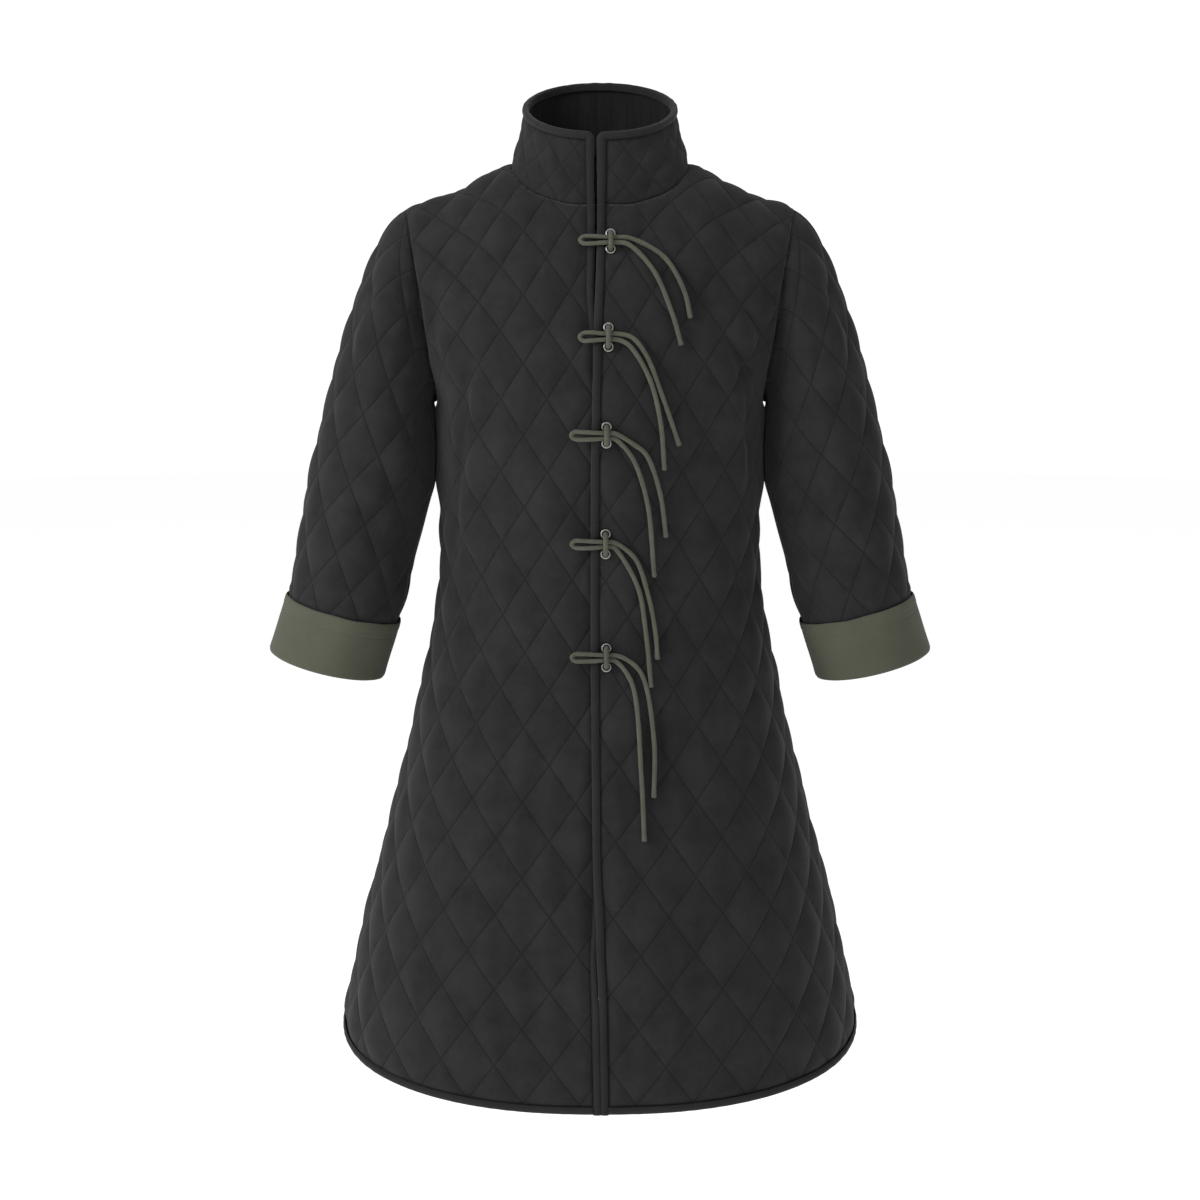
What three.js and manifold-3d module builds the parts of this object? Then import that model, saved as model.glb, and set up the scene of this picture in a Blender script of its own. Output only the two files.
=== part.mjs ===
// A woman's quilted coat with a stand collar, turned cuffs and five cord ties, filled out as if it were worn.
// Millimetres, +Z up. The front faces -Y and the wearer's left side is +X. The origin lies inside the
// shoulders, midway between them, where the wearer carries the coat.
import * as THREE from "three";
import { mergeVertices } from "three/addons/utils/BufferGeometryUtils.js";
import Module from "manifold-3d";

const wasm = await Module();
wasm.setup();

// Driving dimensions.
const WALL = 3.0; // quilted cloth on its stitch lines
const EDGE_WALL = 2.0; // the same cloth pressed flat at a seam or a bound edge
const PUFF = 3.6; // how far the middle of a diamond stands out
const SEAM = 0.17; // each piece keeps this far from a seam line
const ARMHOLE_SEAM = 0.4;
const SHOULDER_FALL = 0.468;
const SHOULDER_ROUND = 60;
const SHOULDER_DIP = 6; // the shoulder line sags this much between the neck and the arm
const NECK_SIDE = 87;
const SHOULDER_END = 195;
const TOP = 80; // the shoulder seam, measured up the cloth
const ARMPIT = -216;
const BIND_WIDTH = 8;
const BIND_INSET = 5; // the panel's edge lies this far in from the bound edge
const FRONT_LIFT = 7.4; // the wearer's left front lies over the right one
const SLEEVE_ROUND = 380; // flat width of a sleeve
const CUFF_DEEP = 59;
const CORD = 4.6;
const EYELET = { outer: 5, hole: 3, barrel: 3.7, opening: 4.4 };

const table = (columns, rows) =>
  rows.map((row) => Object.fromEntries(columns.split(" ").map((name, k) => [name, row[k]])));

// The body, ring by ring. "up" is the distance up the cloth, z the height at the centre line.
const BODY = table("up z half front back square", [
  [-915, -915, 273, 212, 214, 2.4],
  [-853, -853, 264, 203, 206, 2.4],
  [-743, -743, 239.5, 184, 188, 2.4],
  [-634, -634, 211, 160, 166, 2.4],
  [-554, -554, 191, 142, 148, 2.4],
  [-501, -501, 179, 131, 136, 2.4],
  [-459, -459, 170, 123, 128, 2.4],
  [-417, -417, 163, 117, 121.5, 2.4],
  [-375, -375, 158.5, 113, 117.5, 2.4],
  [-334, -334, 158.5, 113, 116.5, 2.4],
  [-292, -292, 161.5, 117.5, 118.5, 2.4],
  [-250, -250, 161.5, 122, 121, 2.4],
  [-216, -216, 162, 124, 122, 2.4],
  [-185, -185, 169.3, 121.5, 122, 2.45],
  [-150, -150, 179, 115, 120, 2.5],
  [-100, -99, 189, 100, 115, 2.7],
  [-60, -58, 197.5, 86, 109, 2.9],
  [-20, -20, 206, 71, 99, 3.1],
  [0, -3.5, 209.5, 63, 90, 3.2],
  [20, 12, 213, 51.5, 75, 3.2],
  [40, 26, 216.5, 37, 54, 3.2],
  [55, 34, 218.5, 24.5, 35, 3.2],
  [68, 38.5, 220.5, 12, 17, 3.2],
  [80, 40.4, 222, 0, 0, 3.2],
]);
const ARMHOLE = table("up x", [
  [-216, 162], [-205, 163.4], [-185, 166.3], [-150, 170.8], [-120, 174], [-80, 177.5],
  [-40, 182], [0, 186], [40, 190], [80, 195],
]);
const NECK_FRONT = table("x up", [
  [0, -20], [28, -17.5], [46, -8], [63, 5.5], [76, 24], [84, 44], [87, 64], [87, 80],
]);
const NECK_BACK = table("x up", [
  [0, 42], [30, 43], [55, 48], [74, 60], [84, 71], [87, 80],
]);
// Where the bound front edges run, as x: the left front's edge and the right front's.
const FRONT_EDGES = table("up left right", [
  [-915, 1.8, 0.6], [-860, 1.0, -0.3], [-800, 0, -1.5], [-745, -2.2, -3.0], [-715, -3.5, -0.5],
  [-660, -7, 2], [-560, -8.2, 2.3], [-420, -9.3, 2.8], [-280, -8.9, 2.5], [-170, -6.8, 1.5],
  [-135, -6, -3], [-100, -4.5, -5.4], [-60, -3.4, -4.8], [0, -3.0, -5.0], [80, -3, -5],
]);
// The diamonds: how wide and how high they are, and how far round from the middle of the front they start on the
// right front and on the left one.
const FIRST_ROW = -275;
const DIAMONDS = table("up wide high right left", [
  [-915, 56, 72, -9, 7], [-775, 55, 72, -6.5, 11], [-600, 52, 72, -2.5, 17], [-500, 49, 72, 0.5, 23],
  [-400, 46.5, 72, 3, 28], [-275, 46.5, 71, 4, 33], [-200, 45.5, 69, 5, 35], [-135, 45, 67, 6, 31],
  [-76, 44, 65, 7.5, 26], [80, 44, 65, 7.5, 24],
]);
// The left sleeve, from the wrist to the armhole: its outer line, its inner line, its half depth and its middle.
const SLEEVE = table("t outX outZ inX inZ deep midY", [
  [0, 332.2, -467.5, 226.8, -494.5, 56, -20],
  [0.162, 310, -396, 204.5, -425, 57, -18],
  [0.254, 302, -354, 193, -383, 58, -17],
  [0.391, 290, -292, 176.5, -321, 60, -15],
  [0.571, 270.5, -211, 168.5, -262, 62, -12],
  [0.709, 252.5, -150, 170.5, -238, 62, -8],
  [0.8, 239, -110, 171, -226, 60, -4],
  [0.894, 222.5, -70, 169, -218, 57, 0],
  [0.941, 212, -51, 166, -215.5, 54, 2],
  [1, 195, -27, 162, -216, 52, 5],
]);
// The collar: its rim's half width, its rim's reach and height at the front and back, how high it is on the flat,
// its diamonds, how far its sides curve in, and where its two front edges end, from the middle of the front.
const COLLAR = {
  half: 72, front: 64, back: 58, zFront: 50, zBack: 101.5, high: 68, wide: 30.6, tall: 35, waist: 0.66,
  leftEnd: 2.9, rightEnd: -5.2,
};

// A smooth curve through a table's rows that doesn't overshoot them.
function smooth(rows, key, column) {
  const x = rows.map((r) => r[key]);
  const y = rows.map((r) => r[column]);
  const n = x.length;
  const slope = y.slice(1).map((v, k) => (v - y[k]) / (x[k + 1] - x[k]));
  const m = y.map((_, k) => {
    if (k === 0) return slope[0];
    if (k === n - 1) return slope[n - 2];
    if (slope[k - 1] * slope[k] <= 0) return 0;
    const a = x[k] - x[k - 1];
    const b = x[k + 1] - x[k];
    return (3 * (a + b)) / ((2 * b + a) / slope[k - 1] + (b + 2 * a) / slope[k]);
  });
  return (v) => {
    let k = 0;
    while (k < n - 2 && v > x[k + 1]) k += 1;
    const h = x[k + 1] - x[k];
    const t = Math.min(1, Math.max(0, (v - x[k]) / h));
    const u = 1 - t;
    return u * u * (1 + 2 * t) * y[k] + t * t * (3 - 2 * t) * y[k + 1] + h * t * u * (u * m[k] - t * m[k + 1]);
  };
}
const clamp = (v, lo = 0, hi = 1) => Math.min(hi, Math.max(lo, v));
const step = (v) => ((t) => t * t * (3 - 2 * t))(clamp(v));
const mix = (a, b, t) => a + (b - a) * t;
const vec = (x, y, z) => new THREE.Vector3(x, y, z);

const body = Object.fromEntries(
  ["z", "half", "front", "back", "square"].map((name) => [name, smooth(BODY, "up", name)]),
);
const armholeX = smooth(ARMHOLE, "up", "x");
const edgeX = { left: smooth(FRONT_EDGES, "up", "left"), right: smooth(FRONT_EDGES, "up", "right") };
const wideAt = smooth(DIAMONDS, "up", "wide");
const highAt = smooth(DIAMONDS, "up", "high");
const startAt = { left: smooth(DIAMONDS, "up", "left"), right: smooth(DIAMONDS, "up", "right") };

// Half a ring of the body at one height: angle and distance round from the centre line.
const RING_STEPS = 48;
function ring(face, up) {
  const a = body.half(up);
  const b = body[face](up);
  const e = body.square(up);
  const at = (angle) => {
    const [s, c] = [Math.sin(angle), Math.max(Math.cos(angle), 0)];
    const r = (s ** e + c ** e) ** (-1 / e);
    return [a * r * s, b * r * c];
  };
  const length = [0];
  let last = at(0);
  for (let k = 1; k <= RING_STEPS; k += 1) {
    const next = at(Math.min((k / RING_STEPS) * Math.PI * 0.5, Math.PI * 0.5));
    length.push(length[k - 1] + Math.hypot(next[0] - last[0], next[1] - last[1]));
    last = next;
  }
  return { at, length, total: length[RING_STEPS], a, e };
}
const drop = (up, x) => {
  const s = step((up - ARMPIT) / (TOP - ARMPIT));
  const along = clamp((Math.abs(x) - NECK_SIDE) / (SHOULDER_END - NECK_SIDE));
  const dip = SHOULDER_DIP * Math.sin(Math.PI * along) ** 2;
  return s * (SHOULDER_FALL * (Math.hypot(x, SHOULDER_ROUND) - SHOULDER_ROUND) + dip);
};
// The inside of the body's cloth: "round" is the distance round from the centre line, "up" the one up the cloth.
function bodyPoint(face, round, up) {
  const r = ring(face, up);
  const s = Math.min(Math.abs(round), r.total);
  let k = 0;
  while (k < RING_STEPS - 1 && s > r.length[k + 1]) k += 1;
  const part = (s - r.length[k]) / (r.length[k + 1] - r.length[k] || 1);
  const [x, y] = r.at(clamp(((k + part) / RING_STEPS) * Math.PI * 0.5, 0, Math.PI * 0.5));
  return vec(Math.sign(round) * x, face === "front" ? -y : y, body.z(up) - drop(up, x));
}
const bodyHalf = (face, up) => ring(face, up).total;
function roundAt(face, x, up) {
  const r = ring(face, up);
  const share = clamp(Math.abs(x) / r.a);
  const angle = Math.atan2(share, (1 - share ** r.e) ** (1 / r.e));
  const at = (angle / (Math.PI * 0.5)) * RING_STEPS;
  const k = Math.min(Math.floor(at), RING_STEPS - 1);
  return Math.sign(x) * mix(r.length[k], r.length[k + 1], at - k);
}
function normalOf(point, a, b, sign, aTop = Infinity, bTop = Infinity) {
  const e = 0.6;
  const a1 = Math.min(a + e, aTop);
  const b1 = Math.min(b + e, bTop);
  const da = point(a1, b).sub(point(a1 - 2 * e, b));
  const db = point(a, b1).sub(point(a, b1 - 2 * e));
  return da.cross(db).normalize().multiplyScalar(sign);
}
function bodyNormal(face, round, up) {
  const half = bodyHalf(face, up);
  const n = normalOf((a, b) => bodyPoint(face, a, b), Math.abs(round), up, face === "front" ? 1 : -1, half, TOP);
  if (round < 0) n.x = -n.x;
  return n;
}

// The left sleeve: "angle" is 0 on the outer line and turns to the front, t runs from the wrist to the armhole.
const sleeve = Object.fromEntries(
  ["outX", "outZ", "inX", "inZ", "deep", "midY"].map((name) => [name, smooth(SLEEVE, "t", name)]),
);
function armholePoint(angle) {
  const up = mix(ARMPIT, TOP, 0.5 + 0.5 * Math.cos(angle));
  const face = Math.sin(angle) >= 0 ? "front" : "back";
  const x = Math.min(armholeX(up), body.half(up));
  const round = roundAt(face, x, up);
  return { face, round, up, point: bodyPoint(face, round, up) };
}
function sleeveRing(angle, t) {
  const c = Math.cos(angle);
  const s = Math.sin(angle);
  return vec(
    (sleeve.outX(t) + sleeve.inX(t)) / 2 + (c * (sleeve.outX(t) - sleeve.inX(t))) / 2,
    sleeve.midY(t) - s * sleeve.deep(t),
    (sleeve.outZ(t) + sleeve.inZ(t)) / 2 + (c * (sleeve.outZ(t) - sleeve.inZ(t))) / 2,
  );
}
const COLUMN_STEPS = 40;
function sleeveColumn(angle) {
  const shift = armholePoint(angle).point.sub(sleeveRing(angle, 1));
  const at = (t) => sleeveRing(angle, t).addScaledVector(shift, step((t - 0.6) / 0.4));
  const length = [0];
  let last = at(0);
  for (let k = 1; k <= COLUMN_STEPS; k += 1) {
    const next = at(k / COLUMN_STEPS);
    length.push(length[k - 1] + next.distanceTo(last));
    last = next;
  }
  return { at, length, total: length[COLUMN_STEPS] };
}
function sleevePoint(angle, up) {
  const column = sleeveColumn(angle);
  if (up < 0) {
    const start = column.at(0);
    return start.clone().addScaledVector(column.at(0.02).sub(start).normalize(), up);
  }
  let k = 0;
  while (k < COLUMN_STEPS - 1 && up > column.length[k + 1]) k += 1;
  const part = (up - column.length[k]) / (column.length[k + 1] - column.length[k]);
  return column.at(Math.min((k + part) / COLUMN_STEPS, 1));
}
const TURN = (2 * Math.PI) / SLEEVE_ROUND;
function sleeveNormal(angle, up) {
  const top = sleeveColumn(angle).total;
  const e = 0.02;
  const da = sleevePoint(angle + e, Math.min(up, sleeveColumn(angle + e).total)).sub(
    sleevePoint(angle - e, Math.min(up, sleeveColumn(angle - e).total)),
  );
  const high = Math.min(up + 0.6, top);
  const db = sleevePoint(angle, high).sub(sleevePoint(angle, high - 1.2));
  return da.cross(db).normalize().negate();
}

// The collar's lower line is the neck seam and its upper line a tilted oval. "u" runs from -1 at the right
// front edge round the back to 1 at the left front edge.
function neckLine(rows, face) {
  const curve = new THREE.CatmullRomCurve3(rows.map((r) => vec(r.x, r.up, 0)), false, "centripetal");
  return curve.getPoints(24).map((c) => {
    const up = Math.min(c.y, TOP);
    const round = roundAt(face, c.x, up);
    return { face, round, up, point: bodyPoint(face, round, up) };
  });
}
const neckFront = neckLine(NECK_FRONT, "front");
const neckBack = neckLine(NECK_BACK, "back");
const neckHalf = [...neckBack, ...neckFront.slice(0, -1).reverse()];
const neckLength = [0];
neckHalf.forEach((n, k) => {
  if (k) neckLength.push(neckLength[k - 1] + n.point.distanceTo(neckHalf[k - 1].point));
});
const NECK_HALF = neckLength.at(-1);
function neckPoint(u) {
  const past = Math.abs(u) > 1;
  const s = (past ? 2 - Math.abs(u) : Math.abs(u)) * NECK_HALF;
  let k = 0;
  while (k < neckLength.length - 2 && s > neckLength[k + 1]) k += 1;
  const p = neckHalf[k].point.clone().lerp(neckHalf[k + 1].point, (s - neckLength[k]) / (neckLength[k + 1] - neckLength[k]));
  if (u < 0 !== past) p.x = -p.x;
  return p;
}
function rimPoint(u) {
  const angle = Math.abs(u) * Math.PI;
  const c = Math.cos(angle);
  const s = Math.sin(angle);
  return vec(
    Math.sign(u) * COLLAR.half * Math.sign(s) * Math.abs(s) ** 0.92,
    c > 0 ? COLLAR.back * c : COLLAR.front * c,
    mix(COLLAR.zFront, COLLAR.zBack, (1 + c) / 2),
  );
}
// "high" is the part of the way from the neck seam (0) to the rim (1).
function collarPoint(round, high) {
  const u = round / NECK_HALF;
  const h = high / COLLAR.high;
  const [low, rim] = [neckPoint(u), rimPoint(u)];
  const inward = mix(h, 1 - (1 - clamp(h)) ** 2.4, COLLAR.waist);
  return vec(mix(low.x, rim.x, inward), mix(low.y, rim.y, inward), mix(low.z, rim.z, h));
}
function collarNormal(round, high) {
  const e = 2;
  const da = collarPoint(round + e, high).sub(collarPoint(round - e, high));
  const db = collarPoint(round, high + 1).sub(collarPoint(round, high - 1));
  return da.cross(db).normalize().negate();
}

// A seam as a line on the flat cloth, with the one direction in which both of its pieces are thick.
const SEAM_REACH = 14;
function nearest(line, a, b) {
  let best = { d: Infinity };
  for (let k = 0; k + 1 < line.length; k += 1) {
    const [p, q] = [line[k], line[k + 1]];
    const [x, y] = [q.round - p.round, q.up - p.up];
    const t = clamp(((a - p.round) * x + (b - p.up) * y) / (x * x + y * y || 1));
    const d = Math.hypot(a - p.round - t * x, b - p.up - t * y);
    if (d < best.d) best = { d, normal: p.normal && p.normal.clone().lerp(q.normal, t) };
  }
  return best;
}
function leaned(normal, a, b, seams) {
  const sum = vec(0, 0, 0);
  let keep = 1;
  for (const line of seams) {
    const hit = nearest(line, a, b);
    const w = 1 - step(hit.d / SEAM_REACH);
    sum.addScaledVector(hit.normal, w);
    keep *= 1 - w;
  }
  return sum.addScaledVector(normal, keep).normalize();
}
const ridgeNormal = (round) =>
  bodyNormal("front", round, TOP - 1).add(bodyNormal("back", round, TOP - 1)).normalize();
const ARMHOLE_STEPS = 30;
const armholeAngles = Array.from({ length: ARMHOLE_STEPS + 1 }, (_, k) => -Math.PI + (k / ARMHOLE_STEPS) * 2 * Math.PI);
const armhole = armholeAngles.map((angle) => {
  const at = armholePoint(angle);
  const length = sleeveColumn(angle).total;
  const normal = bodyNormal(at.face, at.round, Math.min(at.up, TOP - 1)).add(sleeveNormal(angle, length - 4)).normalize();
  const near = 1 - step(Math.abs(angle) / 0.5);
  return { ...at, angle, length, normal: normal.lerp(ridgeNormal(at.round), near).normalize() };
});
const neckSeam = (line) =>
  line.map((n) => {
    const s = neckLength[neckHalf.findIndex((m) => m.point.distanceTo(n.point) < 1e-6)];
    const normal = bodyNormal(n.face, n.round, Math.min(n.up, TOP - 1)).add(collarNormal(s, 2)).normalize();
    return { ...n, s, normal: normal.lerp(ridgeNormal(n.round), 1 - step((TOP - n.up) / 22)).normalize() };
  });
const neckFrontSeam = neckSeam(neckFront);
const neckBackSeam = neckSeam(neckBack);
const shoulderSeam = Array.from({ length: 13 }, (_, k) => {
  const round = mix(NECK_FRONT.at(-1).x, ARMHOLE.at(-1).x, k / 12);
  return { round, up: TOP, normal: ridgeNormal(round) };
});
const armholeOf = (face) => armhole.filter((a) => (face === "front" ? a.angle >= -1e-9 : a.angle <= 1e-9));
const mirrored = (line) => line.map((n) => ({ ...n, round: -n.round, normal: n.normal && n.normal.clone().setX(-n.normal.x) }));

const bodySeams = {
  front: [shoulderSeam, armholeOf("front"), neckFrontSeam],
  back: [shoulderSeam, armholeOf("back"), neckBackSeam],
};
bodySeams.back.push(...bodySeams.back.map(mirrored));
const hemUp = (face, share) => (face === "front" ? -895.5 + 35 * share * share : -882 + 21.5 * share * share);
const lift = (round, up) =>
  FRONT_LIFT * step((-30 - up) / 80) * step((up + 800) / 55) * (1 - step((round - 14) / 70));
// Any piece of the body lies on this: a point on the cloth and its height above the inside.
function bodyMap(face, high) {
  return (round, up, out) => {
    const top = Math.min(up, TOP);
    const normal = leaned(bodyNormal(face, round, top), round, top, bodySeams[face]);
    return bodyPoint(face, round, top).addScaledVector(normal, out + (high ? high(round, up) : 0));
  };
}
const mapRight = bodyMap("front");
const mapLeft = bodyMap("front", lift);
const mapBack = bodyMap("back");
const sleeveSeams = [armhole.map((a) => ({ round: a.angle / TURN, up: a.length, normal: a.normal }))];
function mapSleeve(round, up, out) {
  const angle = round * TURN;
  const normal = leaned(sleeveNormal(angle, up), round, up, sleeveSeams);
  return sleevePoint(angle, up).addScaledVector(normal, out);
}
const neckBoth = [...neckBackSeam, ...neckFrontSeam.slice(0, -1).reverse()].map((n) => ({ round: n.s, up: 0, normal: n.normal }));
const collarSeams = [[...mirrored(neckBoth).reverse(), ...neckBoth.slice(1)]];
function mapCollar(round, high, out) {
  const normal = leaned(collarNormal(round, high), round, high, collarSeams);
  return collarPoint(round, high).addScaledVector(normal, out);
}

// Geometry helpers.
const polygon = (sides, radius) =>
  Array.from({ length: sides }, (_, k) => {
    const angle = ((k + 0.5) / sides) * 2 * Math.PI;
    return new THREE.Vector2(radius * Math.cos(angle), radius * Math.sin(angle));
  });
function bare(geometry) {
  geometry.deleteAttribute("normal");
  geometry.deleteAttribute("uv");
  return mergeVertices(geometry, 1e-4);
}
function solid(geometry) {
  const g = bare(geometry);
  return new wasm.Manifold(
    new wasm.Mesh({ numProp: 3, vertProperties: g.attributes.position.array, triVerts: new Uint32Array(g.index.array) }),
  );
}
// A closed mesh with its faces turned out.
function meshOf(points, triangles) {
  let volume = 0;
  for (let k = 0; k < triangles.length; k += 3) {
    const [a, b, c] = [points[triangles[k]], points[triangles[k + 1]], points[triangles[k + 2]]];
    volume += a.dot(vec(0, 0, 0).crossVectors(b, c));
  }
  const g = new THREE.BufferGeometry();
  g.setAttribute("position", new THREE.Float32BufferAttribute(points.flatMap((p) => [p.x, p.y, p.z]), 3));
  g.setIndex(volume < 0 ? [...triangles].reverse() : triangles);
  g.computeVertexNormals();
  return g;
}
// The rows of the quilting, where the stitch lines cross.
function rowsOf(first, highOf, low, high) {
  const rows = [first];
  while (rows.at(-1) < high) rows.push(rows.at(-1) + highOf(rows.at(-1)) / 2);
  let below = 0;
  while (rows[0] > low) {
    rows.unshift(rows[0] - highOf(rows[0]) / 2);
    below += 1;
  }
  return { rows, below };
}
// A slab on the flat whose upper and lower faces are both a lattice of points.
function lattice(across, rows, top, bottom) {
  const position = [];
  const triangles = [];
  for (const level of [top, bottom])
    rows.forEach(({ up, j }) => across(up).forEach(({ round, i }) => position.push(round, up, level((i + j) & 1))));
  const nx = across(rows[0].up).length;
  const first = across(rows[0].up)[0].i;
  const count = nx * rows.length;
  const quad = (a, b, c, d, turned) => triangles.push(...(turned ? [a, b, d, b, c, d] : [a, b, c, a, c, d]));
  rows.slice(1).forEach(({ j }, k) => {
    for (let i = 0; i + 1 < nx; i += 1) {
      const a = k * nx + i;
      const turned = ((i + first + rows[k].j) & 1) === 1;
      quad(a, a + 1, a + 1 + nx, a + nx, turned);
      const b = a + count;
      quad(b, b + nx, b + nx + 1, b + 1, turned);
    }
  });
  const rim = [];
  for (let i = 0; i < nx - 1; i += 1) rim.push(i);
  for (let j = 0; j < rows.length - 1; j += 1) rim.push(j * nx + nx - 1);
  for (let i = nx - 1; i > 0; i -= 1) rim.push((rows.length - 1) * nx + i);
  for (let j = rows.length - 1; j > 0; j -= 1) rim.push(j * nx);
  rim.forEach((a, k) => {
    const b = rim[(k + 1) % rim.length];
    triangles.push(a, a + count, b, b, a + count, b + count);
  });
  return new wasm.Manifold(
    new wasm.Mesh({ numProp: 3, vertProperties: new Float32Array(position), triVerts: new Uint32Array(triangles) }),
  );
}
// A quilted panel on the flat: low where stitches cross and high inside each diamond, plain behind, and cut to
// its outline. Each of its points then goes to its place on the garment.
function quilted({ outline, holes = [], first, start = () => 0, wide, high, map, thick, puff }) {
  const lows = [0, 1].map((k) => Math.min(...outline.map((p) => p[k])));
  const highs = [0, 1].map((k) => Math.max(...outline.map((p) => p[k])));
  const { rows: ups, below } = rowsOf(first, high, lows[1] - 5, highs[1] + 5);
  const rows = ups.map((up, k) => ({ up, j: k - below }));
  const narrow = Math.min(...ups.map((up) => wide(up)));
  const starts = ups.map((up) => start(up));
  const i0 = Math.floor((lows[0] - Math.max(...starts)) / (narrow / 2)) - 1;
  const i1 = Math.ceil((highs[0] - Math.min(...starts)) / (narrow / 2)) + 1;
  const across = (up) =>
    Array.from({ length: i1 - i0 + 1 }, (_, k) => ({ i: i0 + k, round: start(up) + ((i0 + k) * wide(up)) / 2 }));
  const behind = rows.filter((_, k) => k % 2 === 0 || k === rows.length - 1).map((row, k) => ({ ...row, j: k }));
  const front = lattice(across, rows, (odd) => 1 + odd, () => -0.5);
  const slab = front.add(lattice(across, behind, () => 0.5, (odd) => -1 - 0.3 * odd));
  const corners = outline.filter((b, k) => {
    const a = outline.at(k - 1);
    const c = outline[(k + 1) % outline.length];
    return Math.abs((b[0] - a[0]) * (c[1] - a[1]) - (b[1] - a[1]) * (c[0] - a[0])) > 0.02;
  });
  const shape = new THREE.Shape(corners.map(([x, y]) => new THREE.Vector2(x, y)));
  for (const hole of holes)
    shape.holes.push(new THREE.Path(polygon(8, hole.radius).map((c) => c.add({ x: hole.round, y: hole.up })).reverse()));
  const block = new THREE.ExtrudeGeometry(shape, { depth: 8, bevelEnabled: false });
  block.translate(0, 0, -4);
  const cut = slab.intersect(solid(block)).getMesh();
  const points = [];
  for (let k = 0; k < cut.vertProperties.length; k += 3) {
    const [round, up, level] = cut.vertProperties.slice(k, k + 3);
    points.push(map(round, up, level > 0 ? thick(round, up) + PUFF * (level - 1) * puff(round, up) : 0));
  }
  return meshOf(points, [...cut.triVerts]);
}
// A strip that follows a line on the cloth. Each section point is a distance in from the line and a height.
function strip(path, section, map, closed = false) {
  const points = [];
  const triangles = [];
  const n = section.length;
  for (const at of path)
    for (const [inward, out] of section) points.push(map(at.round + inward * at.in[0], at.up + inward * at.in[1], out));
  const count = closed ? path.length : path.length - 1;
  for (let k = 0; k < count; k += 1)
    for (let i = 0; i < n; i += 1) {
      const a = k * n + i;
      const b = k * n + ((i + 1) % n);
      const c = ((k + 1) % path.length) * n + i;
      const d = ((k + 1) % path.length) * n + ((i + 1) % n);
      triangles.push(a, b, c, b, d, c);
    }
  if (!closed) {
    const faces = THREE.ShapeUtils.triangulateShape(section.map(([x, y]) => new THREE.Vector2(x, y)), []);
    const last = (path.length - 1) * n;
    for (const [a, b, c] of faces) triangles.push(a, c, b, last + a, last + b, last + c);
  }
  return meshOf(points, triangles);
}

const cloth = (color, roughness = 0.9) => new THREE.MeshStandardMaterial({ color, roughness, metalness: 0 });
const charcoal = cloth(0x2e2e2f);
const tape = cloth(0x262627);
const olive = cloth(0x5c5e51, 0.85);
const cordCloth = cloth(0x5b5b52, 0.8);
const nickel = new THREE.MeshStandardMaterial({ color: 0x9c9c98, roughness: 0.35, metalness: 0.9 });
const coat = new THREE.Group();
function add(name, geometry, material) {
  const mesh = new THREE.Mesh(geometry, material);
  mesh.name = name;
  coat.add(mesh);
  return mesh;
}

// Where each tie sits on the left front. x and z are on the front of the cloth; the eyelets lie "gap" apart,
// the loop reaches "loop" to the right front, and each tail runs through three points down to its cut end.
const TIES = table("z x gap loop upper lower", [
  [-56.6, 10.2, 15, 29, [[19, 1], [50, -16], [69, -47], [75, -73]], [[17, -5], [40, -29], [58, -70], [66, -98]]],
  [-147.3, 8, 17.5, 27, [[22, -1], [35, -17], [50, -55], [66, -101]], [[19, -8], [38, -38], [48, -78], [52, -124]]],
  [-237, 6.1, 15.6, 33, [[25, -8], [37, -19], [50, -57], [56, -102]], [[15, -9], [25, -23], [38, -65], [45, -141]]],
  [-345, 5.3, 19.6, 32, [[27, -13], [40, -52], [47, -89], [49, -115]], [[16, -13], [31, -46], [38, -89], [43, -142]]],
  [-457.5, 6.1, 18.3, 33, [[18, -1], [33, -16], [45, -80], [45, -135]], [[14, -8], [25, -28], [33, -113], [36, -176]]],
]);
const chart = (x, z) => {
  let up = z;
  for (let k = 0; k < 12; k += 1) up += (z - (body.z(up) - drop(up, x))) * 0.8;
  return { round: roundAt("front", x, up), up };
};
const eyelets = TIES.flatMap((tie, k) =>
  ["upper", "lower"].map((name, side) => ({
    name: `tie_${k + 1}_eyelet_${name}`,
    radius: EYELET.opening,
    ...chart(tie.x, tie.z + (side ? -1 : 1) * tie.gap / 2),
  })),
);

// How thick the cloth is and how far its diamonds stand out, near its seams and edges.
const pressed = (lines, near = 3, far = 17) => (a, b) =>
  lines.reduce((least, line) => Math.min(least, step((nearest(line, a, b).d - near) / (far - near))), 1);
const thickness = (lines) => (a, b) =>
  mix(EDGE_WALL, WALL, lines.reduce((least, line) => Math.min(least, step(nearest(line, a, b).d / 20)), 1));
const outlineLine = (outline) => [...outline, outline[0]].map(([round, up]) => ({ round, up }));

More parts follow.
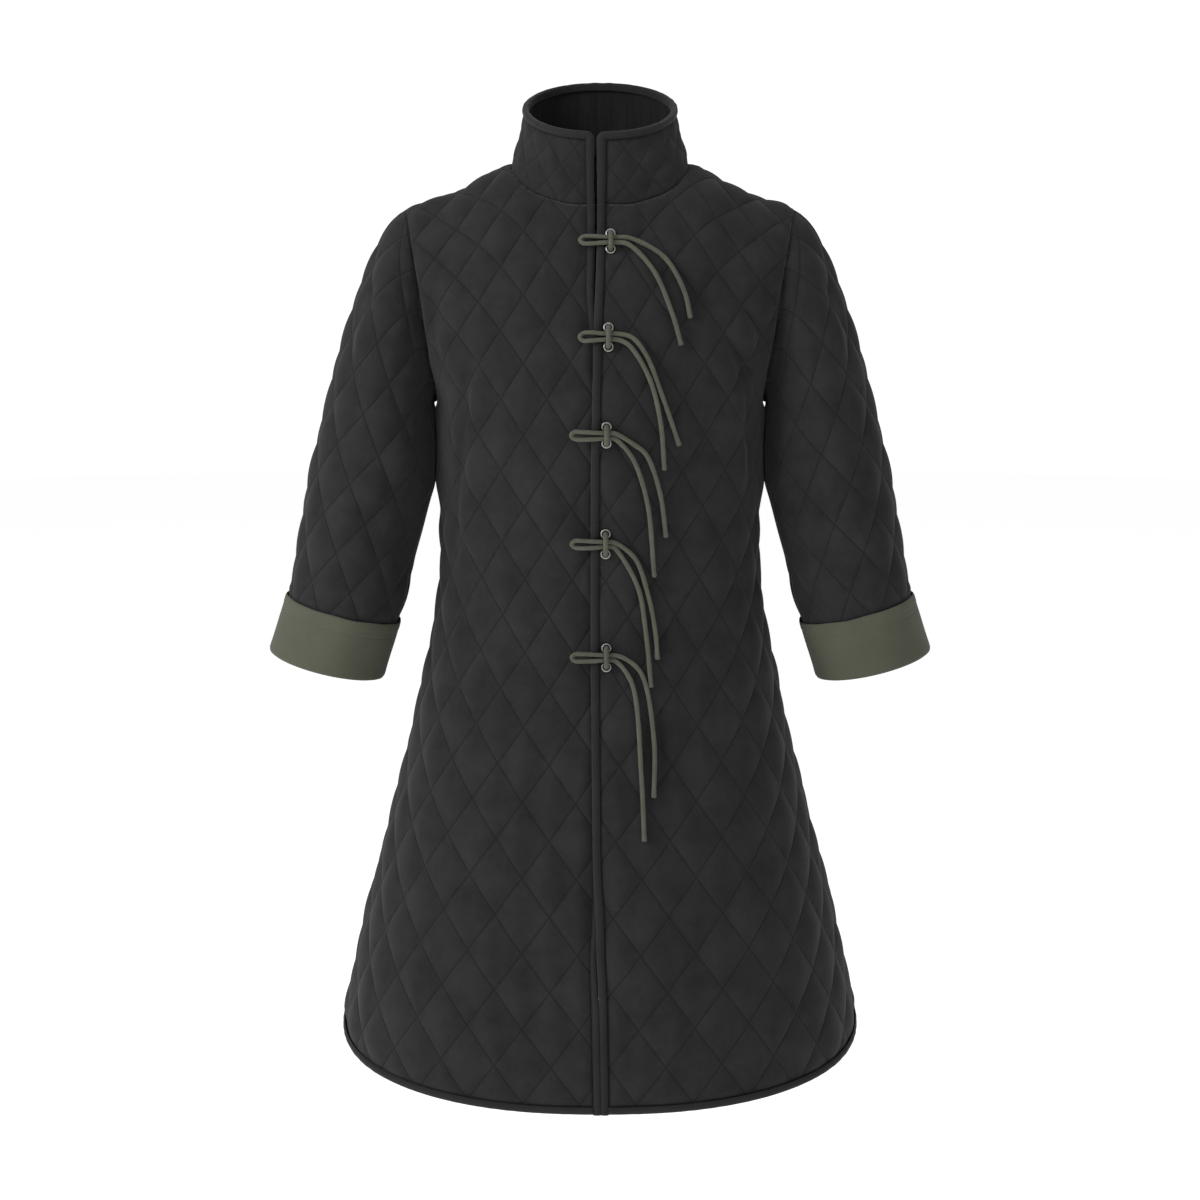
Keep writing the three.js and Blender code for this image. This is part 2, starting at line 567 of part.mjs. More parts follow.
// The outline of half a body panel, from its centre edge round by the hem, side seam, armhole, shoulder and neck.
const SIDE_STEPS = 13;
function panelOutline(face, centreAt, inset) {
  const points = [];
  const half = bodyHalf;
  const hem = (share) => hemUp(face, share) + BIND_INSET;
  const centre = centreAt(hemUp(face, 0)) + inset;
  for (let k = 0; k <= 12; k += 1) {
    const up = hem(k / 12);
    points.push([mix(centre, half(face, up) - SEAM, k / 12), up]);
  }
  for (let k = 1; k < SIDE_STEPS; k += 1) {
    const up = mix(hem(1), ARMPIT - 1, k / SIDE_STEPS);
    points.push([half(face, up) - SEAM, up]);
  }
  const seam = armholeOf(face).sort((a, b) => a.up - b.up);
  seam.forEach((a, k) => {
    const before = seam[Math.max(k - 1, 0)];
    const after = seam[Math.min(k + 1, seam.length - 1)];
    const [x, y] = [after.round - before.round, after.up - before.up];
    const size = Math.hypot(x, y);
    const top = k === seam.length - 1;
    if (k === 0) points.push([half(face, ARMPIT - 1) - SEAM, ARMPIT - ARMHOLE_SEAM - 0.7]);
    else if (top) points.push([a.round - ARMHOLE_SEAM, TOP - SEAM]);
    else points.push([a.round - (ARMHOLE_SEAM * y) / size, a.up + (ARMHOLE_SEAM * x) / size]);
  });
  const neck = face === "front" ? neckFront : neckBack;
  points.push([mix(neck.at(-1).round, armhole[ARMHOLE_STEPS / 2].round, 0.66), TOP - SEAM]);
  points.push([mix(neck.at(-1).round, armhole[ARMHOLE_STEPS / 2].round, 0.33), TOP - SEAM]);
  points.push([neck.at(-1).round + SEAM, TOP - SEAM]);
  const line = [...neck].reverse().filter((_, k) => k % 2 === 0);
  line.slice(1).forEach((n, k) => {
    const before = line[k];
    const after = line[Math.min(k + 2, line.length - 1)];
    const [x, y] = [after.round - before.round, after.up - before.up];
    const size = Math.hypot(x, y);
    const point = [n.round - (SEAM * y) / size, n.up + (SEAM * x) / size];
    if (point[0] > centreAt(n.up) + inset + 4) points.push(point);
  });
  const neckUp = neck[0].up - SEAM;
  points.push([centreAt(neckUp) + inset, neckUp]);
  return points;
}
// The heights at which the bound front edge has a point, from the neck down.
const EDGE_UPS = [
  -50, -80, -100, -115, -130, -150, -180, -212, -245, -280, -315, -350, -385, -420, -455, -490, -525, -560, -595,
  -630, -660, -690, -715, -730, -745, -757, -770, -785, -800, -845,
];

// A binding's section, a strip folded over the panel's edge: distance in from the bound edge, height above the
// inside of the cloth. "slack" is how far its inner half stands off the cloth.
const binding = (slack) => [
  [0.3, -slack - 1.1], [BIND_WIDTH, -slack - 1.1], [BIND_WIDTH, -slack], [4.5, -slack], [4.5, 3.2],
  [BIND_WIDTH, 3.2], [BIND_WIDTH, 4.3], [0.3, 4.3],
];

// The two fronts. "round" is positive away from the centre on both, and the right one is mirrored.
const fronts = {
  left: { centre: (up) => edgeX.left(up), map: mapLeft },
  right: { centre: (up) => -edgeX.right(up), map: (a, b, c) => mapRight(a, b, c).multiply(vec(-1, 1, 1)) },
};
for (const [side, f] of Object.entries(fronts)) {
  const outline = panelOutline("front", f.centre, BIND_INSET);
  outline.push(...EDGE_UPS.map((up) => [f.centre(up) + BIND_INSET, up]));
  const line = outlineLine(outline);
  const edge = pressed([line]);
  const thick = thickness([line]);
  const holes = side === "left" ? eyelets : [];
  const flat = (a, b) => {
    const eye = holes.reduce((least, h) => Math.min(least, step((Math.hypot(a - h.round, b - h.up) - 9) / 12)), 1);
    const arm = 1 - step((a - 0.62 * bodyHalf("front", Math.min(b, 0))) / 25) * step((b + 345) / 40);
    return Math.min(edge(a, b), eye, arm);
  };
  add(`front_${side}`, quilted({
    outline, holes, first: FIRST_ROW, start: startAt[side], wide: wideAt, high: highAt, map: f.map, thick, puff: flat,
  }), charcoal);
  const path = [neckFront[0].up - 0.4, ...EDGE_UPS, hemUp("front", 0)].map((up) => ({ round: f.centre(up), up, in: [1, 0] }));
  add(`front_${side}_edge_binding`, strip(path, binding(1.45), f.map), tape);
  const hem = Array.from({ length: 19 }, (_, k) => {
    const from = f.centre(hemUp("front", 0)) + BIND_WIDTH + 0.3;
    const up = hemUp("front", k / 18);
    return { round: mix(from, bodyHalf("front", up) - 2 * SEAM, k / 18), up, in: [0, 1] };
  });
  add(`front_${side}_hem_binding`, strip(hem, binding(1.9), f.map), tape);
}

// The back is one piece.
{
  const half = panelOutline("back", () => 0, 0);
  const outline = [...half, ...[...half].reverse().map(([a, b]) => [-a, b])].filter(
    ([a, b], k, all) => Math.abs(a) > 1e-6 || all.findIndex(([c, d]) => Math.abs(c - a) < 1e-6 && Math.abs(d - b) < 1e-6) === k,
  );
  const line = outlineLine(outline);
  const edge = pressed([line]);
  const arm = (a, b) => 1 - step((Math.abs(a) - 0.62 * bodyHalf("back", Math.min(b, 0))) / 25) * step((b + 345) / 40);
  add("back", quilted({
    outline, first: FIRST_ROW, wide: wideAt, high: highAt, map: mapBack, thick: thickness([line]),
    puff: (a, b) => Math.min(edge(a, b), arm(a, b)),
  }), charcoal);
  const hem = Array.from({ length: 33 }, (_, k) => {
    const share = (k - 16) / 16;
    const up = hemUp("back", Math.abs(share));
    return { round: share * (bodyHalf("back", up) - 2 * SEAM), up, in: [0, 1] };
  });
  add("back_hem_binding", strip(hem, binding(1.9), mapBack), tape);
}

// The sleeves and their turned cuffs.
const SLEEVE_END = 1.5;
const sleeveOutline = [];
const halfRound = SLEEVE_ROUND / 2;
for (let k = 0; k <= 24; k += 1) sleeveOutline.push([mix(-halfRound + SEAM, halfRound - SEAM, k / 24), SLEEVE_END]);
[...armhole].reverse().forEach((a, k, all) => {
  const before = all[Math.max(k - 1, 0)];
  const after = all[Math.min(k + 1, all.length - 1)];
  const [x, y] = [(after.angle - before.angle) / TURN, after.length - before.length];
  const size = Math.hypot(x, y);
  const end = k === 0 || k === all.length - 1;
  const round = a.angle / TURN;
  sleeveOutline.push(
    end
      ? [Math.sign(round) * (halfRound - SEAM), a.length - ARMHOLE_SEAM - 0.6]
      : [round - (ARMHOLE_SEAM * y) / size, a.length + (ARMHOLE_SEAM * x) / size],
  );
});
const sleeveLine = outlineLine(sleeveOutline);
const sleeveEdge = pressed([sleeveLine]);
const sleevePuff = (a, b) => {
  const under = 1 - step((Math.abs(a) - 125) / 20) * step((b - 95) / 40);
  return Math.min(sleeveEdge(a, b), under, step((b - 62) / 14));
};
const CUFF = [
  [-2.6, -3.5], [14, -3.5], [14, -1.8], [-0.6, -1.8], [-0.6, 4.1], [CUFF_DEEP, 4.1], [CUFF_DEEP, 6], [-2.6, 6],
];
const CUFF_STEPS = 26;
const cuffPath = Array.from({ length: CUFF_STEPS }, (_, k) => ({
  round: (k / CUFF_STEPS) * SLEEVE_ROUND, up: 0, in: [0, 1],
}));
for (const [side, sign] of [["left", 1], ["right", -1]]) {
  const map = (a, b, c) => mapSleeve(a, b, c).multiply(vec(sign, 1, 1));
  add(`sleeve_${side}`, quilted({
    outline: sleeveOutline, first: 85, start: () => 12, wide: () => 44.5, high: () => 70.6, map,
    thick: thickness([sleeveLine]), puff: sleevePuff,
  }), charcoal);
  add(`cuff_${side}`, strip(cuffPath, CUFF, map, true), olive);
}

// The collar, its front edges bound down to the neck seam.
{
  const right = -NECK_HALF - COLLAR.rightEnd;
  const left = NECK_HALF + COLLAR.leftEnd;
  const low = 0.7;
  const outline = [];
  for (let k = 0; k <= 32; k += 1) outline.push([mix(right + BIND_INSET, left - BIND_INSET, k / 32), low]);
  for (let k = 0; k <= 32; k += 1) outline.push([mix(left - BIND_INSET, right + BIND_INSET, k / 32), COLLAR.high - BIND_INSET]);
  const line = outlineLine(outline);
  add("collar", quilted({
    outline, first: COLLAR.high / 2, wide: () => COLLAR.wide, high: () => COLLAR.tall, map: mapCollar,
    thick: thickness([line]), puff: (a, b) => 0.55 * pressed([line], 2, 12)(a, b),
  }), charcoal);
  const path = [];
  for (let k = 0; k <= 3; k += 1) path.push({ round: right, up: mix(low, COLLAR.high, k / 3), in: [1, k === 3 ? -1 : 0] });
  for (let k = 1; k < 24; k += 1) path.push({ round: mix(right, left, k / 24), up: COLLAR.high, in: [0, -1] });
  for (let k = 3; k >= 0; k -= 1) path.push({ round: left, up: mix(low, COLLAR.high, k / 3), in: [-1, k === 3 ? -1 : 0] });
  add("collar_binding", strip(path, binding(0.9), mapCollar), tape);
}

// Eyelets, each a ring through the left front with a washer behind it.
const eyeletProfile = [
  [EYELET.hole, -2.1], [EYELET.outer, -1.3], [EYELET.barrel, -1.2], [EYELET.barrel, 4.0], [EYELET.outer, 4.0],
  [EYELET.hole, 4.6], [EYELET.hole, -2.1],
].map(([x, y]) => new THREE.Vector2(x, y));
for (const eye of eyelets) {
  const g = bare(new THREE.LatheGeometry(eyeletProfile, 8));
  const at = mapLeft(eye.round, eye.up, 0);
  const out = mapLeft(eye.round, eye.up, 1).sub(at).normalize();
  g.applyQuaternion(new THREE.Quaternion().setFromUnitVectors(vec(0, 1, 0), out)).translate(at.x, at.y, at.z);
  g.computeVertexNormals();
  add(eye.name, g, nickel);
}

// Ties: a bar of cord from eyelet to eyelet over the doubled cord, its loop and its two tails.
function cordAlong(points, d, steps) {
  const path = new THREE.CatmullRomCurve3(points, false, "centripetal");
  const section = new THREE.Shape(polygon(8, d / 2));
  const g = bare(new THREE.ExtrudeGeometry(section, { steps, extrudePath: path, bevelEnabled: false }));
  g.computeVertexNormals();
  return g;
}
const onFront = (x, z, out) => {
  const at = chart(Math.abs(x), z);
  const p = x >= 0 ? mapLeft(at.round, at.up, out) : mapLeft(-at.round, at.up, out);
  return p;
};
TIES.forEach((tie, k) => {
  const name = `tie_${k + 1}`;
  const half = tie.gap / 2;
  const strand = CORD / 2 + 0.16;
  const rest = 4.85 + CORD / 2;
  const over = rest + CORD + 0.7;
  const bar = [[half, -1.2], [half, 4], [half - 0.8, over - 2.2], [half * 0.45, over], [-half * 0.45, over],
    [-half + 0.8, over - 2.2], [-half, 4], [-half, -1.2]];
  add(`${name}_bar`, cordAlong(bar.map(([dz, out]) => onFront(tie.x, tie.z + dz, out)), 4.8, 9), cordCloth);
  const turn = 3.4;
  const far = rest + 0.6 - 2.5 * (lift(0, tie.z) / FRONT_LIFT);
  const loop = [[-0.2, strand, rest], [-8, strand + 0.4, rest + 0.6], [10 - tie.loop, turn + 0.2, rest + 0.4],
    [3 - tie.loop, turn * 0.95, far], [-tie.loop, 0, far]];
  loop.push(...loop.slice(0, 4).reverse().map(([dx, dz, out]) => [dx, -dz, out]));
  const loopPoints = loop.map(([dx, dz, out]) => onFront(tie.x + dx, tie.z + dz, out));
  add(`${name}_loop`, cordAlong(loopPoints, CORD - 0.4, 14), cordCloth);
  for (const [which, lean] of [["upper", 1], ["lower", -1]]) {
    const points = [[0.2, lean * strand, rest], [7, lean * strand, rest + 0.6], ...tie[which].map(([dx, dz], i) =>
      [dx, dz, i ? 9.4 : 9.2])];
    add(`${name}_tail_${which}`, cordAlong(points.map(([dx, dz, out]) => onFront(tie.x + dx, tie.z + dz, out)), CORD, 9), cordCloth);
  }
});

export default coat;
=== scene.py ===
# %% [markdown]
# # Dressing a quilted coat
#
# The coat is a charcoal quilted cotton coat with a stand collar, olive canvas cuffs and five cord ties. The
# imported model holds its plain pieces of cloth. This lesson lays a finely made piece over each of them: puffed
# diamonds with their stitches, folded binding tape, turned cuffs, braided cords and metal eyelets.
#
# First the imported model is loaded.

import bmesh
import bpy
import numpy as np
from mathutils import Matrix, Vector


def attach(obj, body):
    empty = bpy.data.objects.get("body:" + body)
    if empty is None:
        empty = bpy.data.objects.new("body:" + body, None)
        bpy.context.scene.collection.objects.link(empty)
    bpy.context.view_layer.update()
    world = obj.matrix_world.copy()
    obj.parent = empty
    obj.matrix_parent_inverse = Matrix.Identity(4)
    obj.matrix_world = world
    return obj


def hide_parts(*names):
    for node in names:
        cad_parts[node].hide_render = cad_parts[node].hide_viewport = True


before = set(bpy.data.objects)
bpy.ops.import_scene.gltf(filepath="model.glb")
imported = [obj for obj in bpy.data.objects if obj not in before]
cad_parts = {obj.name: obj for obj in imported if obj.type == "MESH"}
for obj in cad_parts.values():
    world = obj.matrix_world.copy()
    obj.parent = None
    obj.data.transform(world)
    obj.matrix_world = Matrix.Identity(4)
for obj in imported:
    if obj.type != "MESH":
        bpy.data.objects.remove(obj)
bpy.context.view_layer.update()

MM = 0.001

# %% [markdown]
# ## Camera and light
#
# The coat is seen from the front and a little above, as a mail-order picture shows it. A long lens far away
# keeps the hem and the collar in nearly the same scale. The light of such a picture is large and soft, so wide
# area lamps and a white world do all of it, with no hard shadow anywhere. The world is seen brighter than it
# shines, or it would wash the dark cloth out. The floor lies well below the hem, because the coat is carried by
# its shoulders and touches nothing.

# %% The camera
CAMERA_FROM = 2.4
CAMERA_TILT = np.radians(10.0)
LENS = 69.9
LOOKED_AT = Vector((0.0, 0.0, -0.422))

camera = bpy.data.objects.new("camera", bpy.data.cameras.new("camera"))
bpy.context.collection.objects.link(camera)
toward = Vector((0.0, -np.cos(CAMERA_TILT), np.sin(CAMERA_TILT)))
camera.location = LOOKED_AT + CAMERA_FROM * toward
camera.rotation_euler = toward.to_track_quat("Z", "Y").to_euler()
camera.data.sensor_width, camera.data.lens = 36.0, LENS
camera.data.clip_start, camera.data.clip_end = 0.05, 60.0
bpy.context.scene.camera = camera
print("camera at", [round(v, 3) for v in camera.location])


# %% Lamps, sky and floor
SKY_SEEN, SKY_GIVEN = 1.05, 0.38
FLOOR_LEVEL, FLOOR_RADIUS, FLOOR_GLOW = -1.35, 9.0, 0.62
WHITE = (1.0, 1.0, 1.0, 1.0)


def lamp(name, place, size, power):
    light = bpy.data.objects.new(name, bpy.data.lights.new(name, "AREA"))
    light.data.shape, light.data.size, light.data.energy = "DISK", size, power
    light.location = place
    light.rotation_euler = (Vector(place) - LOOKED_AT).to_track_quat("Z", "Y").to_euler()
    bpy.context.collection.objects.link(light)


lamp("key_lamp", (-2.5, -1.7, 1.4), 1.8, 74.0)
lamp("fill_lamp", (0.4, -2.8, 1.2), 2.0, 10.0)
lamp("top_lamp", (0.0, -0.1, 2.4), 1.8, 10.0)

world = bpy.data.worlds.new("studio")
bpy.context.scene.world = world
world.use_nodes = True
sky = world.node_tree.nodes["Background"]
sky.inputs["Color"].default_value = WHITE
ray = world.node_tree.nodes.new("ShaderNodeLightPath")
seen = world.node_tree.nodes.new("ShaderNodeMapRange")
seen.inputs["To Min"].default_value, seen.inputs["To Max"].default_value = SKY_GIVEN, SKY_SEEN
world.node_tree.links.new(ray.outputs["Is Camera Ray"], seen.inputs["Value"])
world.node_tree.links.new(seen.outputs["Result"], sky.inputs["Strength"])
bpy.context.scene.view_settings.view_transform = "Standard"

bm = bmesh.new()
bmesh.ops.create_circle(bm, cap_ends=True, segments=96, radius=FLOOR_RADIUS)
bmesh.ops.translate(bm, verts=bm.verts, vec=(0.0, 0.0, FLOOR_LEVEL))
floor_mesh = bpy.data.meshes.new("floor")
bm.to_mesh(floor_mesh)
bm.free()
floor = bpy.data.objects.new("floor", floor_mesh)
bpy.context.collection.objects.link(floor)
floor_paint = bpy.data.materials.new("pale_floor")
floor_paint.use_nodes = True
paint = floor_paint.node_tree.nodes["Principled BSDF"]
paint.inputs["Base Color"].default_value = (0.93, 0.93, 0.93, 1.0)
paint.inputs["Roughness"].default_value = 0.9
paint.inputs["Emission Color"].default_value = WHITE
paint.inputs["Emission Strength"].default_value = FLOOR_GLOW
floor_mesh.materials.append(floor_paint)
print("floor at", FLOOR_LEVEL)

# %% [markdown]
# ## The form of the coat
#
# Cloth is measured flat, so every piece is drawn on flat cloth: "round" is the distance round from the centre
# line and "up" the distance up the cloth, both in millimetres. A few short tables say how wide and deep the
# coat is at each height. Curves through them turn a point on the flat cloth into a point in space. The same
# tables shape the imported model, so whatever is made from them here lies on its own solid.

# %% Tables and smooth curves
SHOULDER_FALL, SHOULDER_ROUND = 0.468, 60.0
SHOULDER_DIP, NECK_SIDE, SHOULDER_END = 6.0, 87.0, 195.0
TOP, ARMPIT = 80.0, -216.0
FRONT_LIFT = 7.4
SLEEVE_ROUND = 380.0
BIND_INSET = 5.0


def table(columns, rows):
    return {name: np.array([row[k] for row in rows], float) for k, name in enumerate(columns.split())}


BODY = table("up z half front back square", [
    (-915, -915, 273, 212, 214, 2.4), (-853, -853, 264, 203, 206, 2.4), (-743, -743, 239.5, 184, 188, 2.4),
    (-634, -634, 211, 160, 166, 2.4), (-554, -554, 191, 142, 148, 2.4), (-501, -501, 179, 131, 136, 2.4),
    (-459, -459, 170, 123, 128, 2.4), (-417, -417, 163, 117, 121.5, 2.4), (-375, -375, 158.5, 113, 117.5, 2.4),
    (-334, -334, 158.5, 113, 116.5, 2.4), (-292, -292, 161.5, 117.5, 118.5, 2.4),
    (-250, -250, 161.5, 122, 121, 2.4), (-216, -216, 162, 124, 122, 2.4), (-185, -185, 169.3, 121.5, 122, 2.45),
    (-150, -150, 179, 115, 120, 2.5), (-100, -99, 189, 100, 115, 2.7), (-60, -58, 197.5, 86, 109, 2.9),
    (-20, -20, 206, 71, 99, 3.1), (0, -3.5, 209.5, 63, 90, 3.2), (20, 12, 213, 51.5, 75, 3.2),
    (40, 26, 216.5, 37, 54, 3.2), (55, 34, 218.5, 24.5, 35, 3.2), (68, 38.5, 220.5, 12, 17, 3.2),
    (80, 40.4, 222, 0, 0, 3.2),
])
ARMHOLE = table("up x", [
    (-216, 162), (-205, 163.4), (-185, 166.3), (-150, 170.8), (-120, 174), (-80, 177.5), (-40, 182), (0, 186),
    (40, 190), (80, 195),
])
NECK_FRONT = [(0, -20), (28, -17.5), (46, -8), (63, 5.5), (76, 24), (84, 44), (87, 64), (87, 80)]
NECK_BACK = [(0, 42), (30, 43), (55, 48), (74, 60), (84, 71), (87, 80)]
FRONT_EDGES = table("up left right", [
    (-915, 1.8, 0.6), (-860, 1.0, -0.3), (-800, 0, -1.5), (-745, -2.2, -3.0), (-715, -3.5, -0.5), (-660, -7, 2),
    (-560, -8.2, 2.3), (-420, -9.3, 2.8), (-280, -8.9, 2.5), (-170, -6.8, 1.5), (-135, -6, -3),
    (-100, -4.5, -5.4), (-60, -3.4, -4.8), (0, -3.0, -5.0), (80, -3, -5),
])
DIAMONDS = table("up wide high right left", [
    (-915, 56, 72, -9, 7), (-775, 55, 72, -6.5, 11), (-600, 52, 72, -2.5, 17), (-500, 49, 72, 0.5, 23),
    (-400, 46.5, 72, 3, 28), (-275, 46.5, 71, 4, 33), (-200, 45.5, 69, 5, 35), (-135, 45, 67, 6, 31),
    (-76, 44, 65, 7.5, 26), (80, 44, 65, 7.5, 24),
])
SLEEVE = table("t out_x out_z in_x in_z deep mid_y", [
    (0, 332.2, -467.5, 226.8, -494.5, 56, -20), (0.162, 310, -396, 204.5, -425, 57, -18),
    (0.254, 302, -354, 193, -383, 58, -17), (0.391, 290, -292, 176.5, -321, 60, -15),
    (0.571, 270.5, -211, 168.5, -262, 62, -12), (0.709, 252.5, -150, 170.5, -238, 62, -8),
    (0.8, 239, -110, 171, -226, 60, -4), (0.894, 222.5, -70, 169, -218, 57, 0),
    (0.941, 212, -51, 166, -215.5, 54, 2), (1, 195, -27, 162, -216, 52, 5),
])
COLLAR_HALF, COLLAR_FRONT, COLLAR_BACK = 72.0, 64.0, 58.0
COLLAR_Z_FRONT, COLLAR_Z_BACK, COLLAR_HIGH = 50.0, 101.5, 68.0
COLLAR_WAIST, COLLAR_LEFT_END, COLLAR_RIGHT_END = 0.66, 2.9, -5.2


def smooth(rows, key, column):
    """A smooth curve through a table's rows that doesn't overshoot them."""
    x, y = rows[key], rows[column]
    gap = np.diff(x)
    slope = np.diff(y) / gap
    m = np.concatenate([slope[:1], np.zeros(len(x) - 2), slope[-1:]])
    for k in range(1, len(x) - 1):
        if slope[k - 1] * slope[k] > 0:
            a, b = gap[k - 1], gap[k]
            m[k] = 3 * (a + b) / ((2 * b + a) / slope[k - 1] + (b + 2 * a) / slope[k])

    def at(v):
        v = np.asarray(v, float)
        k = np.clip(np.searchsorted(x, v) - 1, 0, len(x) - 2)
        t = np.clip((v - x[k]) / gap[k], 0, 1)
        u = 1 - t
        ends = u * u * (1 + 2 * t) * y[k] + t * t * (3 - 2 * t) * y[k + 1]
        return ends + gap[k] * t * u * (u * m[k] - t * m[k + 1])

    return at


def step(v):
    t = np.clip(v, 0, 1)
    return t * t * (3 - 2 * t)


def mix(a, b, t):
    return a + (b - a) * t


def unit(v):
    return v / np.linalg.norm(v, axis=-1, keepdims=True)


def catmull(points, ts):
    """A centripetal Catmull-Rom curve through points, at the parts ts of the way along its list."""
    p = np.asarray(points, float)
    q = np.vstack([2 * p[0] - p[1], p, 2 * p[-1] - p[-2]])
    made = []
    for t in np.asarray(ts) * (len(p) - 1):
        k = min(int(t), len(p) - 2)
        w = t - k
        a, b, c, d = q[k:k + 4]
        g0, g1, g2 = (max(np.linalg.norm(v) ** 0.5, 1e-4) for v in (b - a, c - b, d - c))
        m1 = ((b - a) / g0 - (c - a) / (g0 + g1) + (c - b) / g1) * g1
        m2 = ((c - b) / g1 - (d - b) / (g1 + g2) + (d - c) / g2) * g1
        made.append(b + m1 * w + (3 * (c - b) - 2 * m1 - m2) * w * w + (2 * (b - c) + m1 + m2) * w ** 3)
    return np.array(made)


def lengths(line):
    """How far along a line each of its points is."""
    return np.concatenate([[0], np.linalg.norm(np.diff(line, axis=0), axis=1).cumsum()])


def evenly(line, count):
    """Evenly spaced points on a line, and how far along it each one is."""
    along = lengths(line)
    s = np.linspace(0, along[-1], count)
    return np.stack([np.interp(s, along, column) for column in line.T], axis=-1), s


body = {name: smooth(BODY, "up", name) for name in ("z", "half", "front", "back", "square")}
armhole_x = smooth(ARMHOLE, "up", "x")
edge_x = {side: smooth(FRONT_EDGES, "up", side) for side in ("left", "right")}
sleeve_line = {name: smooth(SLEEVE, "t", name) for name in ("out_x", "out_z", "in_x", "in_z", "deep", "mid_y")}
print("hem half width:", body["half"](-915), "waist:", body["half"](-350).round(1))


# %% A point on the body's cloth
RING_STEPS = 48


def ring_at(face, up, angle):
    a, b, e = body["half"](up), body[face](up), body["square"](up)
    s, c = np.sin(angle), np.maximum(np.cos(angle), 0)
    r = (s ** e + c ** e) ** (-1 / e)
    return a * r * s, b * r * c


def ring_lengths(face, up):
    """The distances round from the centre line at equal angles, one row for each height."""
    heights, back = np.unique(np.round(up, 4), return_inverse=True)
    x, y = ring_at(face, heights[:, None], np.linspace(0, np.pi / 2, RING_STEPS + 1)[None, :])
    length = np.hstack([np.zeros((len(heights), 1)), np.hypot(np.diff(x), np.diff(y)).cumsum(axis=1)])
    return length[back.ravel()]


def drop(up, x):
    along = np.clip((np.abs(x) - NECK_SIDE) / (SHOULDER_END - NECK_SIDE), 0, 1)
    fall = SHOULDER_FALL * (np.hypot(x, SHOULDER_ROUND) - SHOULDER_ROUND)
    fall = fall + SHOULDER_DIP * np.sin(np.pi * along) ** 2
    return step((up - ARMPIT) / (TOP - ARMPIT)) * fall


def body_point(face, across, up):
    length = ring_lengths(face, up)
    s = np.minimum(np.abs(across), length[:, -1])
    k = np.clip((length < s[:, None]).sum(axis=1) - 1, 0, RING_STEPS - 1)
    n = np.arange(len(s))
    gap = length[n, k + 1] - length[n, k]
    part = (s - length[n, k]) / np.where(gap > 0, gap, 1)
    x, y = ring_at(face, up, np.clip((k + part) / RING_STEPS, 0, 1) * np.pi / 2)
    return np.stack([np.sign(across) * x, -y if face == "front" else y, body["z"](up) - drop(up, x)], axis=-1)


def round_at(face, x, up):
    length = ring_lengths(face, up)
    e = body["square"](up)
    share = np.clip(np.abs(x) / body["half"](up), 0, 1)
    at = np.arctan2(share, (1 - share ** e) ** (1 / e)) / (np.pi / 2) * RING_STEPS
    k = np.minimum(at.astype(int), RING_STEPS - 1)
    n = np.arange(len(at))
    return np.sign(x) * mix(length[n, k], length[n, k + 1], at - k)


def body_half(face, up):
    return ring_lengths(face, np.atleast_1d(up))[:, -1]


def body_normal(face, across, up):
    e = 0.6
    a, b = np.abs(across), np.minimum(up, TOP)
    a1, b1 = np.minimum(a + e, body_half(face, b)), np.minimum(b + e, TOP)
    da = body_point(face, a1, b) - body_point(face, a1 - 2 * e, b)
    db = body_point(face, a, b1) - body_point(face, a, b1 - 2 * e)
    n = unit(np.cross(da, db)) * (1 if face == "front" else -1)
    n[:, 0] *= np.where(across < 0, -1, 1)
    return n


test = body_point("front", np.array([0.0, 120.0]), np.array([-300.0, -300.0]))
print("two points at the chest:", test.round(1).tolist())

# %% A point on the sleeve's cloth
COLUMN_STEPS = 40
TURN = 2 * np.pi / SLEEVE_ROUND


def armhole_point(angle):
    up = mix(ARMPIT, TOP, 0.5 + 0.5 * np.cos(angle))
    x = np.minimum(armhole_x(up), body["half"](up))
    across, point = np.zeros_like(up), np.zeros(up.shape + (3,))
    for face, chosen in (("front", np.sin(angle) >= 0), ("back", np.sin(angle) < 0)):
        if chosen.any():
            across[chosen] = round_at(face, x[chosen], up[chosen])
            point[chosen] = body_point(face, across[chosen], up[chosen])
    return across, up, point


def sleeve_ring(angle, t):
    c, s = np.cos(angle), np.sin(angle)
    line = {name: curve(t) for name, curve in sleeve_line.items()}
    return np.stack([
        (line["out_x"] + line["in_x"]) / 2 + c * (line["out_x"] - line["in_x"]) / 2,
        line["mid_y"] - s * line["deep"],
        (line["out_z"] + line["in_z"]) / 2 + c * (line["out_z"] - line["in_z"]) / 2,
    ], axis=-1)


def joining(t):
    """How much the ring has turned into the armhole's line, at the part t of the way up the sleeve."""
    return step((t - 0.6) / 0.4)


def sleeve_columns(angle):
    """One column of points from the wrist to the armhole for each angle, and the distances along it."""
    shift = armhole_point(angle)[2] - sleeve_ring(angle, np.ones_like(angle))
    t = np.linspace(0, 1, COLUMN_STEPS + 1)[None, :, None]
    shape = (len(angle), COLUMN_STEPS + 1)
    points = sleeve_ring(np.broadcast_to(angle[:, None], shape), np.broadcast_to(t[..., 0], shape))
    points = points + shift[:, None, :] * joining(t)
    length = np.linalg.norm(np.diff(points, axis=1), axis=-1).cumsum(axis=1)
    return np.hstack([np.zeros((len(angle), 1)), length]), shift


